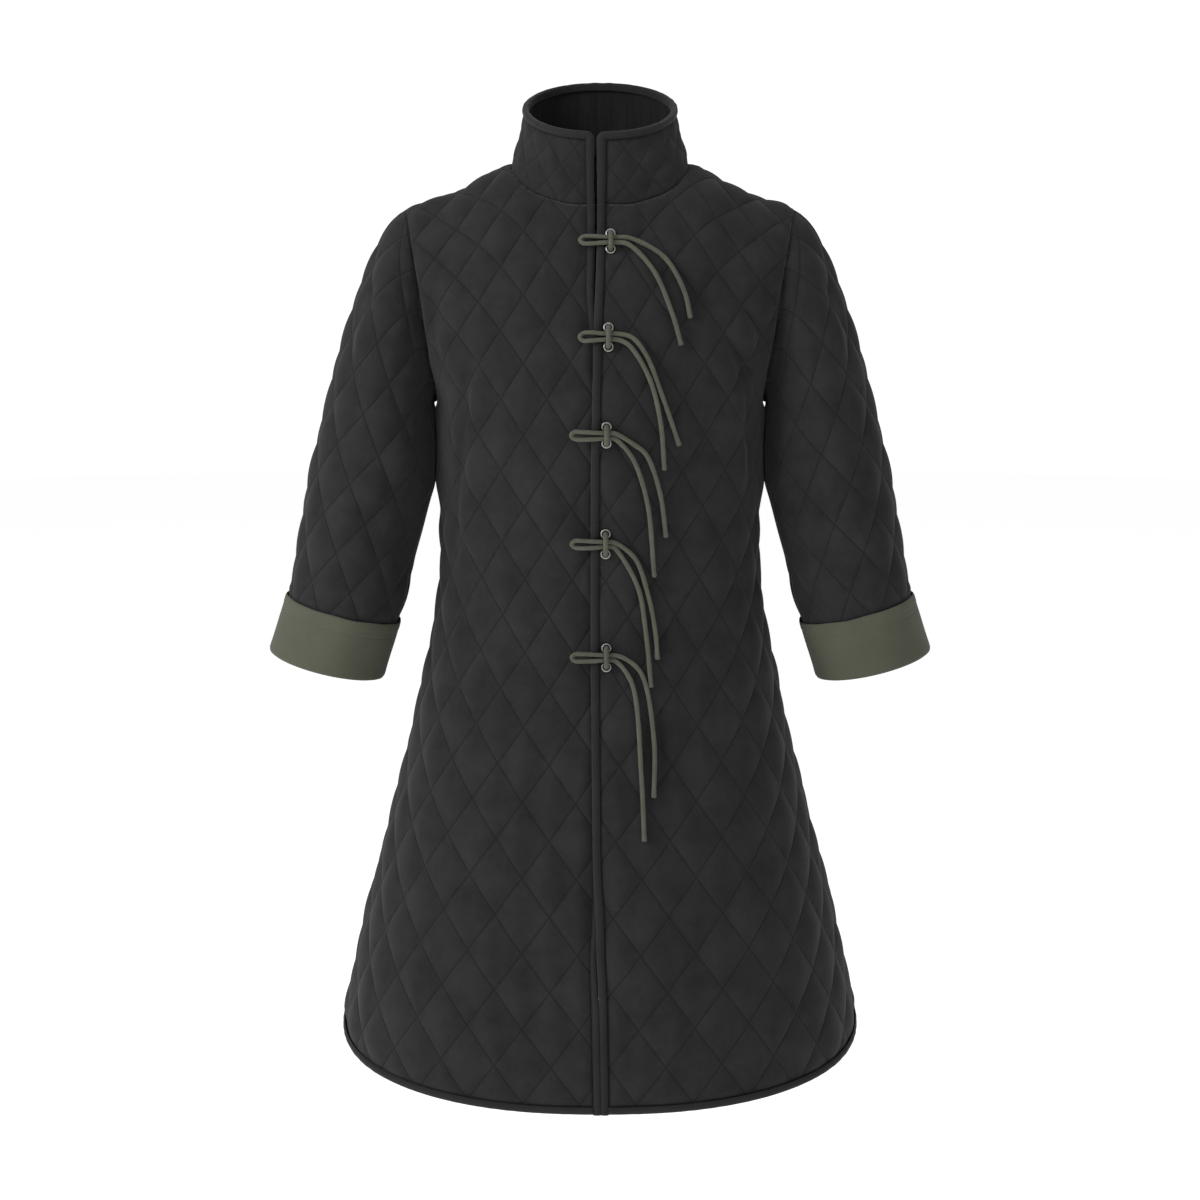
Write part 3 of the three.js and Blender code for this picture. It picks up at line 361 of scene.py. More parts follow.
def sleeve_point(angle, up):
    angles, back = np.unique(np.round(angle, 7), return_inverse=True)
    length, shift = (v[back.ravel()] for v in sleeve_columns(angles))
    n = np.arange(len(up))
    k = np.clip((length < up[:, None]).sum(axis=1) - 1, 0, COLUMN_STEPS - 1)
    part = (np.maximum(up, 0) - length[n, k]) / (length[n, k + 1] - length[n, k])
    t = np.minimum((k + part) / COLUMN_STEPS, 1)
    p = sleeve_ring(angle, t) + shift * joining(t)[:, None]
    below = up < 0
    if below.any():
        start = sleeve_ring(angle[below], np.zeros(below.sum()))
        along = unit(sleeve_ring(angle[below], np.full(below.sum(), 0.02)) - start)
        p[below] = start + along * up[below, None]
    return p


def sleeve_top(angle):
    return sleeve_columns(np.atleast_1d(angle))[0][:, -1]


def sleeve_normal(angle, up):
    e = 0.02
    da = (sleeve_point(angle + e, np.minimum(up, sleeve_top(angle + e)))
          - sleeve_point(angle - e, np.minimum(up, sleeve_top(angle - e))))
    high = np.minimum(up + 0.6, sleeve_top(angle))
    db = sleeve_point(angle, high) - sleeve_point(angle, high - 1.2)
    return -unit(np.cross(da, db))


print("sleeve length, outer and under:", sleeve_top(np.array([0.0, np.pi])).round(0))


# %% A point on the collar's cloth
def neck_line(rows, face):
    c = catmull([(x, up, 0) for x, up in rows], np.linspace(0, 1, 25))
    up = np.minimum(c[:, 1], TOP)
    across = round_at(face, c[:, 0], up)
    return {"face": face, "round": across, "up": up, "point": body_point(face, across, up)}


neck_front, neck_back = neck_line(NECK_FRONT, "front"), neck_line(NECK_BACK, "back")
neck_points = np.vstack([neck_back["point"], neck_front["point"][:-1][::-1]])
neck_length = lengths(neck_points)
NECK_HALF = neck_length[-1]


def collar_point(across, high):
    """Past the middle of the front, where the left front laps, the collar goes on to the other side."""
    u = across / NECK_HALF
    past = np.abs(u) > 1
    s = np.where(past, 2 - np.abs(u), np.abs(u)) * NECK_HALF
    foot = np.stack([np.interp(s, neck_length, neck_points[:, k]) for k in range(3)], axis=-1)
    foot[:, 0] *= np.where((u < 0) != past, -1, 1)
    c, sine = np.cos(np.abs(u) * np.pi), np.sin(np.abs(u) * np.pi)
    rim = np.stack([
        np.sign(u) * COLLAR_HALF * np.sign(sine) * np.abs(sine) ** 0.92,
        np.where(c > 0, COLLAR_BACK, COLLAR_FRONT) * c,
        mix(COLLAR_Z_FRONT, COLLAR_Z_BACK, (1 + c) / 2),
    ], axis=-1)
    h = (high / COLLAR_HIGH)[:, None]
    inward = mix(h, 1 - (1 - np.clip(h, 0, 1)) ** 2.4, COLLAR_WAIST)
    return np.hstack([mix(foot[:, :2], rim[:, :2], inward), mix(foot[:, 2:], rim[:, 2:], h)])


def collar_normal(across, high):
    e = 2.0
    da = collar_point(across + e, high) - collar_point(across - e, high)
    db = collar_point(across, high + 1) - collar_point(across, high - 1)
    return -unit(np.cross(da, db))


print("neck seam:", round(2 * NECK_HALF), "mm")

# %% [markdown]
# ### Seams
#
# Two pieces that are sewn together have to be thick in the same direction where they meet, or their edges would
# gape. So each seam has its own direction, halfway between those of its two pieces, and the cloth leans over to
# it within a finger's width.

# %% One direction for both sides of a seam
SEAM_REACH = 14.0


def nearest(line, a, b):
    """The distance to a line on the flat cloth, and the line's direction there if it has one."""
    best = np.full(a.shape, np.inf)
    lean = np.zeros(a.shape + (3,))
    r, u, normal = line["round"], line["up"], line.get("normal")
    for k in range(len(r) - 1):
        x, y = r[k + 1] - r[k], u[k + 1] - u[k]
        t = np.clip(((a - r[k]) * x + (b - u[k]) * y) / max(x * x + y * y, 1e-9), 0, 1)
        d = np.hypot(a - r[k] - t * x, b - u[k] - t * y)
        closer = d < best
        best[closer] = d[closer]
        if normal is not None:
            lean[closer] = mix(normal[k], normal[k + 1], t[closer, None])
    return best, lean


def leaned(normal, a, b, seams):
    total, keep = np.zeros_like(normal), np.ones(len(a))
    for line in seams:
        d, lean = nearest(line, a, b)
        w = 1 - step(d / SEAM_REACH)
        total += lean * w[:, None]
        keep *= 1 - w
    return unit(total + normal * keep[:, None])


def ridge_normal(across):
    up = np.full(np.shape(across), TOP - 1)
    return unit(body_normal("front", across, up) + body_normal("back", across, up))


def toward_ridge(normal, across, near):
    return unit(mix(normal, ridge_normal(across), near[:, None]))


ARMHOLE_STEPS = 60
hole_angle = np.linspace(-np.pi, np.pi, ARMHOLE_STEPS + 1)
hole_round, hole_up, _ = armhole_point(hole_angle)
hole_length = sleeve_top(hole_angle)
hole_normal = np.zeros((len(hole_angle), 3))
for face, chosen in (("front", np.sin(hole_angle) >= 0), ("back", np.sin(hole_angle) < 0)):
    hole_normal[chosen] = body_normal(face, hole_round[chosen], np.minimum(hole_up[chosen], TOP - 1))
hole_normal = unit(hole_normal + sleeve_normal(hole_angle, hole_length - 4))
hole_normal = toward_ridge(hole_normal, hole_round, 1 - step(np.abs(hole_angle) / 0.5))


def neck_seam(line, along):
    normal = body_normal(line["face"], line["round"], np.minimum(line["up"], TOP - 1))
    normal = unit(normal + collar_normal(along, np.full(len(along), 2.0)))
    near = 1 - step((TOP - line["up"]) / 22)
    return {**line, "normal": toward_ridge(normal, line["round"], near), "s": along}


neck_back = neck_seam(neck_back, neck_length[:25])
neck_front = neck_seam(neck_front, np.append(neck_length[25:][::-1], neck_length[24]))
shoulder_round = np.linspace(NECK_FRONT[-1][0], ARMHOLE["x"][-1], 13)
shoulder = {"round": shoulder_round, "up": np.full(13, TOP), "normal": ridge_normal(shoulder_round)}


def hole_of(face):
    keep = hole_angle >= -1e-9 if face == "front" else hole_angle <= 1e-9
    order = np.argsort(hole_up[keep], kind="stable")
    return {"round": hole_round[keep][order], "up": hole_up[keep][order], "normal": hole_normal[keep][order]}


def mirrored(line):
    return {"round": -line["round"], "up": line["up"], "normal": line["normal"] * [-1, 1, 1]}


seams = {"front": [shoulder, hole_of("front"), neck_front], "back": [shoulder, hole_of("back"), neck_back]}
seams["back"] += [mirrored(line) for line in seams["back"]]
sleeve_seam = {"round": hole_angle / TURN, "up": hole_length, "normal": hole_normal}
collar_half = {
    "round": np.append(neck_back["s"], neck_front["s"][:-1][::-1]),
    "normal": np.vstack([neck_back["normal"], neck_front["normal"][:-1][::-1]]),
}
collar_half["up"] = np.zeros(len(collar_half["round"]))
other_half = mirrored(collar_half)
collar_seam = {key: np.concatenate([other_half[key][::-1], collar_half[key][1:]]) for key in collar_half}
print("armhole seam:", round(float(lengths(armhole_point(hole_angle)[2])[-1])), "mm")


# %% From flat cloth to the garment
def lift(across, up):
    """The wearer's left front lies over the right one."""
    return FRONT_LIFT * step((-30 - up) / 80) * step((up + 800) / 55) * (1 - step((across - 14) / 70))


def body_map(face, high=None):
    def place(across, up, out):
        top = np.minimum(up, TOP)
        normal = leaned(body_normal(face, across, top), across, top, seams[face])
        return body_point(face, across, top) + normal * (out + (high(across, up) if high else 0))[:, None]

    return place


def on_right(place):
    return lambda across, up, out: place(across, up, out) * [-1, 1, 1]


def map_sleeve(across, up, out):
    angle = across * TURN
    normal = leaned(sleeve_normal(angle, up), across, up, [sleeve_seam])
    return sleeve_point(angle, up) + normal * out[:, None]


def map_collar(across, high, out):
    normal = leaned(collar_normal(across, high), across, high, [collar_seam])
    return collar_point(across, high) + normal * out[:, None]


map_back = body_map("back")
map_left = body_map("front", lift)
map_right = on_right(body_map("front"))
map_sleeve_right = on_right(map_sleeve)
print("a point on the lapping edge:", map_left(np.array([-8.0]), np.array([-420.0]), np.array([4.0])).round(1))

# %% [markdown]
# ## Quilted cloth
#
# Quilting is two layers of cloth with wadding between them, held together by stitch lines. Each line pulls the
# cloth in, and the wadding swells inside every diamond. A plain grid could be displaced by a picture of
# diamonds, but its squares would cut across the stitch lines and fray them. Here the grid's own points lie on
# the stitch lines: columns and rows are spaced so that the lines run corner to corner through its squares, and
# each square is split along the line's direction. The grid is then cut to the panel's outline, its edge points
# are drawn onto the outline, and every point goes to its place on the garment.

# %% The quilting pattern
FIRST_ROW = -275.0


class Pattern:
    """Where stitch lines cross on the flat cloth. At whole i and j with an even sum two lines cross."""

    def __init__(self, first, low, high, wide_at, high_at, shift_at):
        ups, below = [first], 0
        while ups[-1] < high:
            ups.append(ups[-1] + float(high_at(ups[-1])) / 2)
        while ups[0] > low:
            ups.insert(0, ups[0] - float(high_at(ups[0])) / 2)
            below += 1
        self.ups, self.j = np.array(ups), np.arange(len(ups)) - below
        self.half, self.shift = wide_at(self.ups) / 2, shift_at(self.ups)

    def to_cloth(self, i, j):
        up = np.interp(j, self.j, self.ups)
        return np.interp(up, self.ups, self.shift) + i * np.interp(up, self.ups, self.half), up

    def to_lines(self, a, b):
        i = (a - np.interp(b, self.ups, self.shift)) / np.interp(b, self.ups, self.half)
        j = np.interp(b, self.ups, self.j)
        return (i + j) / 2, (i - j) / 2


wide_at, high_at = smooth(DIAMONDS, "up", "wide"), smooth(DIAMONDS, "up", "high")


def body_pattern(shift_at):
    return Pattern(FIRST_ROW, -960.0, 130.0, wide_at, high_at, shift_at)


def even_pattern(first, low, high, wide, tall, shift):
    return Pattern(first, low, high, lambda v: np.full(np.shape(v), wide), lambda v: tall,
                   lambda v: np.full(np.shape(v), shift))


patterns = {
    "front_right": body_pattern(smooth(DIAMONDS, "up", "right")),
    "front_left": body_pattern(smooth(DIAMONDS, "up", "left")),
    "back": body_pattern(lambda v: np.zeros(np.shape(v))),
    "sleeve": even_pattern(85.0, -30.0, 520.0, 44.5, 70.6, 12.0),
    "collar": even_pattern(34.0, -20.0, 90.0, 30.6, 35.0, 0.0),
}
print("rows of the fronts:", len(patterns["front_right"].ups))


# %% Outlines of the panels
def hem_up(face, share):
    return -895.5 + 35 * share ** 2 if face == "front" else -882 + 21.5 * share ** 2


def polyline(points):
    p = np.asarray(points, float)
    return {"round": p[:, 0], "up": p[:, 1]}


def body_outline(face, centre_at, inset):
    """Half a body panel, from its centre edge round by the hem, side, armhole, shoulder and neck."""
    low = hem_up(face, 0)
    share = np.linspace(0, 1, 61)
    hem = hem_up(face, share) + inset
    centre = centre_at(low) + inset
    points = list(zip(mix(centre, body_half(face, hem), share), hem))
    side = np.linspace(hem[-1], ARMPIT, 121)[1:-1]
    points += list(zip(body_half(face, side), side))
    points += list(zip(hole_of(face)["round"], hole_of(face)["up"]))
    neck = neck_front if face == "front" else neck_back
    ridge = np.linspace(points[-1][0], neck["round"][-1], 41)[1:-1]
    points += [(a, TOP) for a in ridge]
    points += [(a, b) for a, b in zip(neck["round"][::-1], neck["up"][::-1]) if a > centre_at(b) + inset + 2]
    up = np.linspace(neck["up"][0], low, 260)
    points += list(zip(centre_at(up) + inset, up)) if face == "front" else [(0.0, neck["up"][0])]
    return points


def area_of(points):
    x, y = np.asarray(points).T
    return abs(np.dot(x, np.roll(y, -1)) - np.dot(y, np.roll(x, -1))) / 2


centre_of = {"left": edge_x["left"], "right": lambda up: -edge_x["right"](up)}
outlines = {f"front_{side}": body_outline("front", centre_of[side], BIND_INSET) for side in ("left", "right")}
half = body_outline("back", lambda up: 0 * up, BIND_INSET)
outlines["back"] = half + [(-a, b) for a, b in half[::-1] if a > 1e-6]
wrist = np.linspace(-SLEEVE_ROUND / 2, SLEEVE_ROUND / 2, 130)
outlines["sleeve"] = [(a, 1.5) for a in wrist] + list(zip((hole_angle / TURN)[::-1], hole_length[::-1]))
collar_ends = (-NECK_HALF - COLLAR_RIGHT_END, NECK_HALF + COLLAR_LEFT_END)
low, high = collar_ends[0] + BIND_INSET, collar_ends[1] - BIND_INSET
rim_up = COLLAR_HIGH - BIND_INSET
outlines["collar"] = [(low, 0.0), (high, 0.0), (high, rim_up), (low, rim_up)]
for name, points in outlines.items():
    print(name, "flat", round(area_of(points) * 1e-6, 3), "square metres")


# %% A grid cut to an outline
def inside(points, x, y):
    odd = np.zeros(x.shape, bool)
    for (x0, y0), (x1, y1) in zip(points, points[1:] + points[:1]):
        if y0 != y1:
            odd ^= ((y0 > y) != (y1 > y)) & (x < (x1 - x0) * (y - y0) / (y1 - y0) + x0)
    return odd


def drawn_onto(points, a, b):
    """The nearest points of a closed outline, and how far away they are."""
    closed = polyline(points + points[:1])
    closed["normal"] = np.column_stack([closed["round"], closed["up"], 0 * closed["up"]])
    far, at = nearest(closed, a, b)
    return at[:, 0], at[:, 1], far


def cut_grid(pattern, outline, holes, fine, corners):
    """A bmesh of the flat panel, fine squares to half a diamond, and its points' places on the cloth."""
    flat = np.asarray(outline)
    j = np.interp([flat[:, 1].min(), flat[:, 1].max()], pattern.ups, pattern.j)
    j0, j1 = int(np.floor(j[0])) - 1, int(np.ceil(j[1])) + 1
    narrow = pattern.half.min()
    i0 = int(np.floor((flat[:, 0].min() - pattern.shift.max()) / narrow)) - 1
    i1 = int(np.ceil((flat[:, 0].max() - pattern.shift.min()) / narrow)) + 1
    nx, ny = (i1 - i0) * fine, (j1 - j0) * fine
    bm = bmesh.new()
    bmesh.ops.create_grid(bm, x_segments=nx, y_segments=ny, size=0.5)
    bm.verts.ensure_lookup_table()
    at = np.array([v.co[:2] for v in bm.verts])
    col, row = np.rint((at[:, 0] + 0.5) * nx), np.rint((at[:, 1] + 0.5) * ny)
    a, b = pattern.to_cloth(i0 + col / fine, j0 + row / fine)
    bm.faces.ensure_lookup_table()
    faces = np.array([[v.index for v in f.verts] for f in bm.faces])
    ca, cb = a[faces].mean(axis=1), b[faces].mean(axis=1)
    keep = inside(outline, ca, cb)
    for hole in holes:
        keep &= ~inside(hole, ca, cb)
    block = (np.floor(col[faces].mean(axis=1) / fine) + i0 + np.floor(row[faces].mean(axis=1) / fine) + j0) % 2
    first = np.array([f.verts[0].co.xy for f in bm.faces])
    first = first < np.array([f.calc_center_median().xy for f in bm.faces])
    corner_start = first[:, 0] == first[:, 1]
    turned = (block == 0) == corner_start
    groups = {method: [f for f, k, t in zip(bm.faces, keep, turned) if k and t == want]
              for method, want in (("FIXED", True), ("ALTERNATE", False))}
    dead = [f for f, k in zip(bm.faces, keep) if not k]
    layer = bm.verts.layers.int.new("start")
    for v in bm.verts:
        v[layer] = v.index
    for method, chosen in groups.items():
        bmesh.ops.triangulate(bm, faces=chosen, quad_method=method)
    bmesh.ops.delete(bm, geom=dead, context="FACES")
    bmesh.ops.delete(bm, geom=[v for v in bm.verts if not v.link_faces], context="VERTS")
    bm.verts.ensure_lookup_table()
    start = np.array([v[layer] for v in bm.verts])
    a, b = a[start], b[start]
    rim = np.array([v.is_boundary for v in bm.verts])
    pa, pb, far = drawn_onto(outline, a[rim], b[rim])
    for hole in holes:
        ha, hb, away = drawn_onto(hole, a[rim], b[rim])
        near = away < far
        pa[near], pb[near] = ha[near], hb[near]
    a[rim], b[rim] = pa, pb
    for ka, kb in corners:
        n = np.flatnonzero(rim)[np.argmin(np.hypot(a[rim] - ka, b[rim] - kb))]
        a[n], b[n] = ka, kb
    return bm, a, b


def piece_of(bm, name, points, layers, material, coords=None, turned=False):
    """Makes the object: points in millimetres, layers of a value for each point, and the maps of the cloth."""
    if turned:
        bmesh.ops.reverse_faces(bm, faces=bm.faces)
    mesh = bpy.data.meshes.new(name)
    bm.to_mesh(mesh)
    bm.free()
    mesh.vertices.foreach_set("co", (points * MM).ravel())
    for key, values in layers.items():
        mesh.attributes.new(key, "FLOAT", "POINT").data.foreach_set("value", np.asarray(values, np.float32))
    corner = np.zeros(len(mesh.loops), int)
    mesh.loops.foreach_get("vertex_index", corner)
    for key, (u, v) in (coords or {}).items():
        mesh.uv_layers.new(name=key).data.foreach_set("uv", np.stack([u, v], axis=-1)[corner].ravel())
    mesh.polygons.foreach_set("use_smooth", np.ones(len(mesh.polygons), bool))
    mesh.materials.append(material)
    mesh.update()
    obj = bpy.data.objects.new(name, mesh)
    bpy.context.collection.objects.link(obj)
    return obj


# %% [markdown]
# ## Materials
#
# Every finish is worked out by nodes. The cloth carries two maps of its own: "lines" counts stitch lines, so
# that the distance to the nearest line and the stitches along it can be worked out, and "cloth" measures the
# flat cloth in metres, for its weave. Heights are given in millimetres and go into one Bump node, so that a
# stitch, a pucker and the nap each have their true size.

# %% A short way to write nodes
class Finish:
    def __init__(self, name):
        self.material = bpy.data.materials.new(name)
        self.material.use_nodes = True
        self.tree = self.material.node_tree
        self.shader = self.tree.nodes["Principled BSDF"]

    def node(self, kind, inputs=(), **settings):
        made = self.tree.nodes.new("ShaderNode" + kind)
        for key, value in settings.items():
            setattr(made, key, value)
        for key, value in dict(inputs).items():
            self.put(made.inputs[key], value)
        return made

    def put(self, socket, value):
        if isinstance(value, bpy.types.NodeSocket):
            self.tree.links.new(value, socket)
        else:
            socket.default_value = value

    def math(self, operation, *values):
        made = self.node("Math", operation=operation)
        for socket, value in zip(made.inputs, values):
            self.put(socket, value)
        return made.outputs[0]

    def ramp(self, value, low, high, to_low=0.0, to_high=1.0):
        inputs = {"Value": value, "From Min": low, "From Max": high, "To Min": to_low, "To Max": to_high}
        return self.node("MapRange", inputs, interpolation_type="SMOOTHSTEP").outputs[0]

    def noise(self, vector, scale, detail=2.0, rough=0.5):
        inputs = {"Vector": vector, "Scale": scale, "Detail": detail, "Roughness": rough}
        return self.node("TexNoise", inputs).outputs[0]

    def vector(self, x, y, z=0.0):
        return self.node("CombineXYZ", {"X": x, "Y": y, "Z": z}).outputs[0]

    def split(self, uv_map):
        at = self.node("UVMap", uv_map=uv_map).outputs[0]
        return self.node("SeparateXYZ", {"Vector": at}).outputs[:2]

    def attribute(self, name):
        return self.node("Attribute", attribute_name=name).outputs["Fac"]

    def place(self):
        return self.node("TexCoord").outputs["Object"]

    def colour(self, factor, low, high):
        inputs = {0: factor, 6: (*low, 1.0), 7: (*high, 1.0)}
        made = self.node("Mix", data_type="RGBA")
        for key, value in inputs.items():
            self.put(made.inputs[key], value)
        return made.outputs[2]

    def finish(self, colour, height, roughness, sheen=0.0, metallic=0.0, gloss=0.5):
        bump = self.node("Bump", {"Height": height, "Distance": 0.001, "Strength": 1.0})
        for key, value in {"Base Color": colour, "Roughness": roughness, "Normal": bump.outputs[0],
                           "Sheen Weight": sheen, "Metallic": metallic, "Specular IOR Level": gloss}.items():
            self.put(self.shader.inputs[key], value)
        return self.material


# %% Charcoal quilted cotton
LINE_GAP = 42.0
STITCHES_A_SIDE = 14.0


def stitched(f, across, along):
    """Distance to one family of stitch lines, height of their thread and of the puckers beside it."""
    away = f.math("MULTIPLY", f.math("ABSOLUTE", f.math("SUBTRACT", across, f.math("ROUND", across))), LINE_GAP)
    beat = f.math("FRACT", f.math("MULTIPLY", along, STITCHES_A_SIDE))
    beat = f.math("ABSOLUTE", f.math("SUBTRACT", beat, 0.5))
    thread = f.math("MULTIPLY", f.ramp(away, 0.15, 0.75, 1.0, 0.0), f.ramp(beat, 0.34, 0.44, 1.0, 0.0))
    ripple = f.noise(f.vector(f.math("MULTIPLY", along, 6.0), f.math("MULTIPLY", across, 2.2)), 1.0, 2.0, 0.5)
    pucker = f.math("MULTIPLY", f.math("SUBTRACT", ripple, 0.5), f.ramp(away, 0.4, 9.0, 1.0, 0.0))
    return away, thread, pucker


def cloth_weave(f, threads=2.2):
    """Plain weave of about the given number of threads a millimetre, as a height from 0 to 1."""
    u, v = f.split("cloth")
    turns = threads * 1000 * np.pi
    su = f.math("SINE", f.math("MULTIPLY", u, turns))
    sv = f.math("SINE", f.math("MULTIPLY", v, turns))
    return f.math("ADD", f.math("MULTIPLY", f.math("MULTIPLY", su, sv), 0.5), 0.5)


def quilted_cotton(name, dark, light, depth=1.0):
    f = Finish(name)
    p, q = f.split("lines")
    away_p, thread_p, pucker_p = stitched(f, p, q)
    away_q, thread_q, pucker_q = stitched(f, q, p)
    away = f.math("MINIMUM", away_p, away_q)
    thread = f.math("MAXIMUM", thread_p, thread_q)
    pucker = f.math("ADD", pucker_p, pucker_q)
    groove = f.ramp(away, 0.1, 1.5)
    seam = f.ramp(f.attribute("edge"), 0.0, 2.2)
    place = f.place()
    mottle = f.noise(place, 24.0, 5.0, 0.7)
    nap = f.noise(place, 260.0, 3.0, 0.7)
    grain = f.noise(place, 1400.0, 2.0, 0.6)
    tone_and_painted_shade = f.math("MULTIPLY_ADD", mottle, 1.4, f.math("MULTIPLY", nap, 0.5))
    tone_and_painted_shade = f.math("SUBTRACT", f.math("MULTIPLY_ADD", grain, 0.3, tone_and_painted_shade), 0.55)
    # Painted shade: the colour darkens on the stitch lines, where the cloth dips into their grooves.
    tone_and_painted_shade = f.math("MULTIPLY", tone_and_painted_shade, f.ramp(away, 0.2, 1.1, 0.4, 1.0))
    # Painted shade: the colour darkens towards the panel's edges, in its seams and where the binding meets it.
    tone_and_painted_shade = f.math("MULTIPLY", tone_and_painted_shade, f.ramp(f.attribute("edge"), 0.0, 2.4, 0.3, 1.0))
    height = f.math("MULTIPLY_ADD", groove, 0.55 * depth, f.math("MULTIPLY", thread, 0.22))
    height = f.math("MULTIPLY_ADD", pucker, 0.9 * depth, height)
    height = f.math("MULTIPLY_ADD", seam, 0.5, height)
    height = f.math("MULTIPLY_ADD", nap, 0.10, height)
    height = f.math("MULTIPLY_ADD", cloth_weave(f), 0.03, height)
    rough = f.ramp(nap, 0.2, 0.8, 0.82, 0.95)
    return f.finish(f.colour(tone_and_painted_shade, dark, light), height, rough, sheen=0.06, gloss=0.2)


def inner_side_with_painted_shade(name, dark, light):
    """The collar's inner side: the same cloth with no stitch lines, drawn into soft upright folds, its colour
    painted darker for shade.
    """
    f = Finish(name)
    u, v = f.split("cloth")
    place = f.place()
    folds = f.noise(f.vector(f.math("MULTIPLY", u, 62.0), f.math("MULTIPLY", v, 9.0)), 1.0, 2.0, 0.5)
    small = f.noise(f.vector(f.math("MULTIPLY", u, 190.0), f.math("MULTIPLY", v, 22.0)), 1.0, 2.0, 0.5)
    nap = f.noise(place, 260.0, 3.0, 0.7)
    height = f.math("MULTIPLY_ADD", folds, 5.0, f.math("MULTIPLY", small, 0.8))
    height = f.math("MULTIPLY_ADD", nap, 0.1, height)
    # Painted shade: the tone follows the folds, darker in their hollows and lighter on their ridges.
    tone_and_painted_shade = f.math("SUBTRACT", f.math("MULTIPLY_ADD", folds, 0.9, f.math("MULTIPLY", nap, 0.4)), 0.3)
    return f.finish(f.colour(tone_and_painted_shade, dark, light), height, 0.9, sheen=0.04, gloss=0.18)


DARK = (0.0052, 0.0052, 0.0054)
charcoal = quilted_cotton("quilted_cotton", DARK, (0.0250, 0.0250, 0.0261))
# The inner side's colours are darker than the outer cloth's: painted shade inside the collar.
inner_cotton_painted_shade = inner_side_with_painted_shade("collar_inner_cotton", (0.006, 0.006, 0.0062), (0.015, 0.015, 0.0154))
collar_cotton = quilted_cotton("collar_cotton", DARK, (0.0232, 0.0232, 0.0242), 0.7)


# %% Binding tape, canvas, cord and metal
def woven(name, dark, light, threads, ridge, sheen, nap_height, spots, rim):
    f = Finish(name)
    place = f.place()
    mottle, nap = f.noise(place, 14.0, 4.0, 0.6), f.noise(place, 420.0, 3.0, 0.7)
    weave = cloth_weave(f, threads)
    tone_and_painted_shade = f.math("ADD", f.math("MULTIPLY_ADD", mottle, spots, f.math("MULTIPLY", nap, 0.5)),
                  f.math("MULTIPLY", weave, 0.25))
    tone_and_painted_shade = f.math("SUBTRACT", tone_and_painted_shade, 0.4)
    # Painted shade: the colour darkens towards the strip's edges, where it meets the cloth it is sewn to; rim
    # sets how dark.
    tone_and_painted_shade = f.math("MULTIPLY", tone_and_painted_shade, f.ramp(f.attribute("edge"), 0.0, 1.6, rim, 1.0))
    height = f.math("MULTIPLY_ADD", weave, ridge, f.math("MULTIPLY", nap, nap_height))
    height = f.math("MULTIPLY_ADD", f.attribute("sewn"), 0.5, height)
    rough = f.ramp(nap, 0.2, 0.8, 0.8, 0.93)
    return f.finish(f.colour(tone_and_painted_shade, dark, light), height, rough, sheen=sheen, gloss=0.22)


tape_cloth = woven("binding_tape", (0.0060, 0.0060, 0.0062), (0.025, 0.025, 0.0262),
                   2.2, 0.04, 0.1, 0.12, 0.9, 0.45)
canvas = woven("olive_canvas", (0.056, 0.060, 0.041), (0.098, 0.104, 0.074),
               1.3, 0.10, 0.08, 0.08, 1.1, 0.9)


def braided(name, dark, light):
    f = Finish(name)
    u, v = f.split("cloth")
    place = f.place()
    twist = f.math("MULTIPLY", u, 16 * np.pi)
    run = f.math("MULTIPLY", v, 2 * np.pi / 0.0016)
    one = f.math("SINE", f.math("ADD", twist, run))
    two = f.math("SINE", f.math("SUBTRACT", twist, run))
    braid = f.math("MULTIPLY_ADD", f.math("MULTIPLY", one, two), 0.5, 0.5)
    nap = f.noise(place, 700.0, 3.0, 0.7)
    mottle = f.noise(place, 60.0, 3.0, 0.6)
    spots = f.math("ADD", f.math("MULTIPLY", nap, 0.5), f.math("MULTIPLY", mottle, 0.6))
    # The braid's raised strands are painted lighter, up to a painted highlight, and the gaps between them
    # darker as painted shade, over a random mottle.
    tone_and_painted_shade = f.math("SUBTRACT", f.math("MULTIPLY_ADD", braid, 0.45, spots), 0.3)
    height = f.math("MULTIPLY_ADD", braid, 0.22, f.math("MULTIPLY", nap, 0.12))
    return f.finish(f.colour(tone_and_painted_shade, dark, light), height, 0.82, sheen=0.08, gloss=0.25)


cord_cloth = braided("olive_cord", (0.042, 0.045, 0.031), (0.128, 0.132, 0.098))


def metal(name):
    f = Finish(name)
    place = f.place()
    wear, scratch = f.noise(place, 500.0, 3.0, 0.6), f.noise(place, 2500.0, 2.0, 0.5)
    colour = f.colour(wear, (0.20, 0.20, 0.195), (0.46, 0.46, 0.445))
    height = f.math("MULTIPLY_ADD", scratch, 0.012, f.math("MULTIPLY", wear, 0.03))
    return f.finish(colour, height, f.ramp(wear, 0.3, 0.7, 0.28, 0.5), metallic=1.0)


nickel = metal("nickel")
print("finishes:", [m.name for m in bpy.data.materials])

# %% [markdown]
# ## The panels
#
# Over the plain pattern of diamonds the cloth has its own history: it folds softly below the armholes, the
# collar is drawn into small wrinkles, the fronts hang in shallow ripples beside their edges, and under the arms
# sleeve and body swell until they rest against each other. The main creases are given one by one, as short
# lines on the flat cloth with a width and a height.

# %% Creases, given one by one
PUFF = 3.3

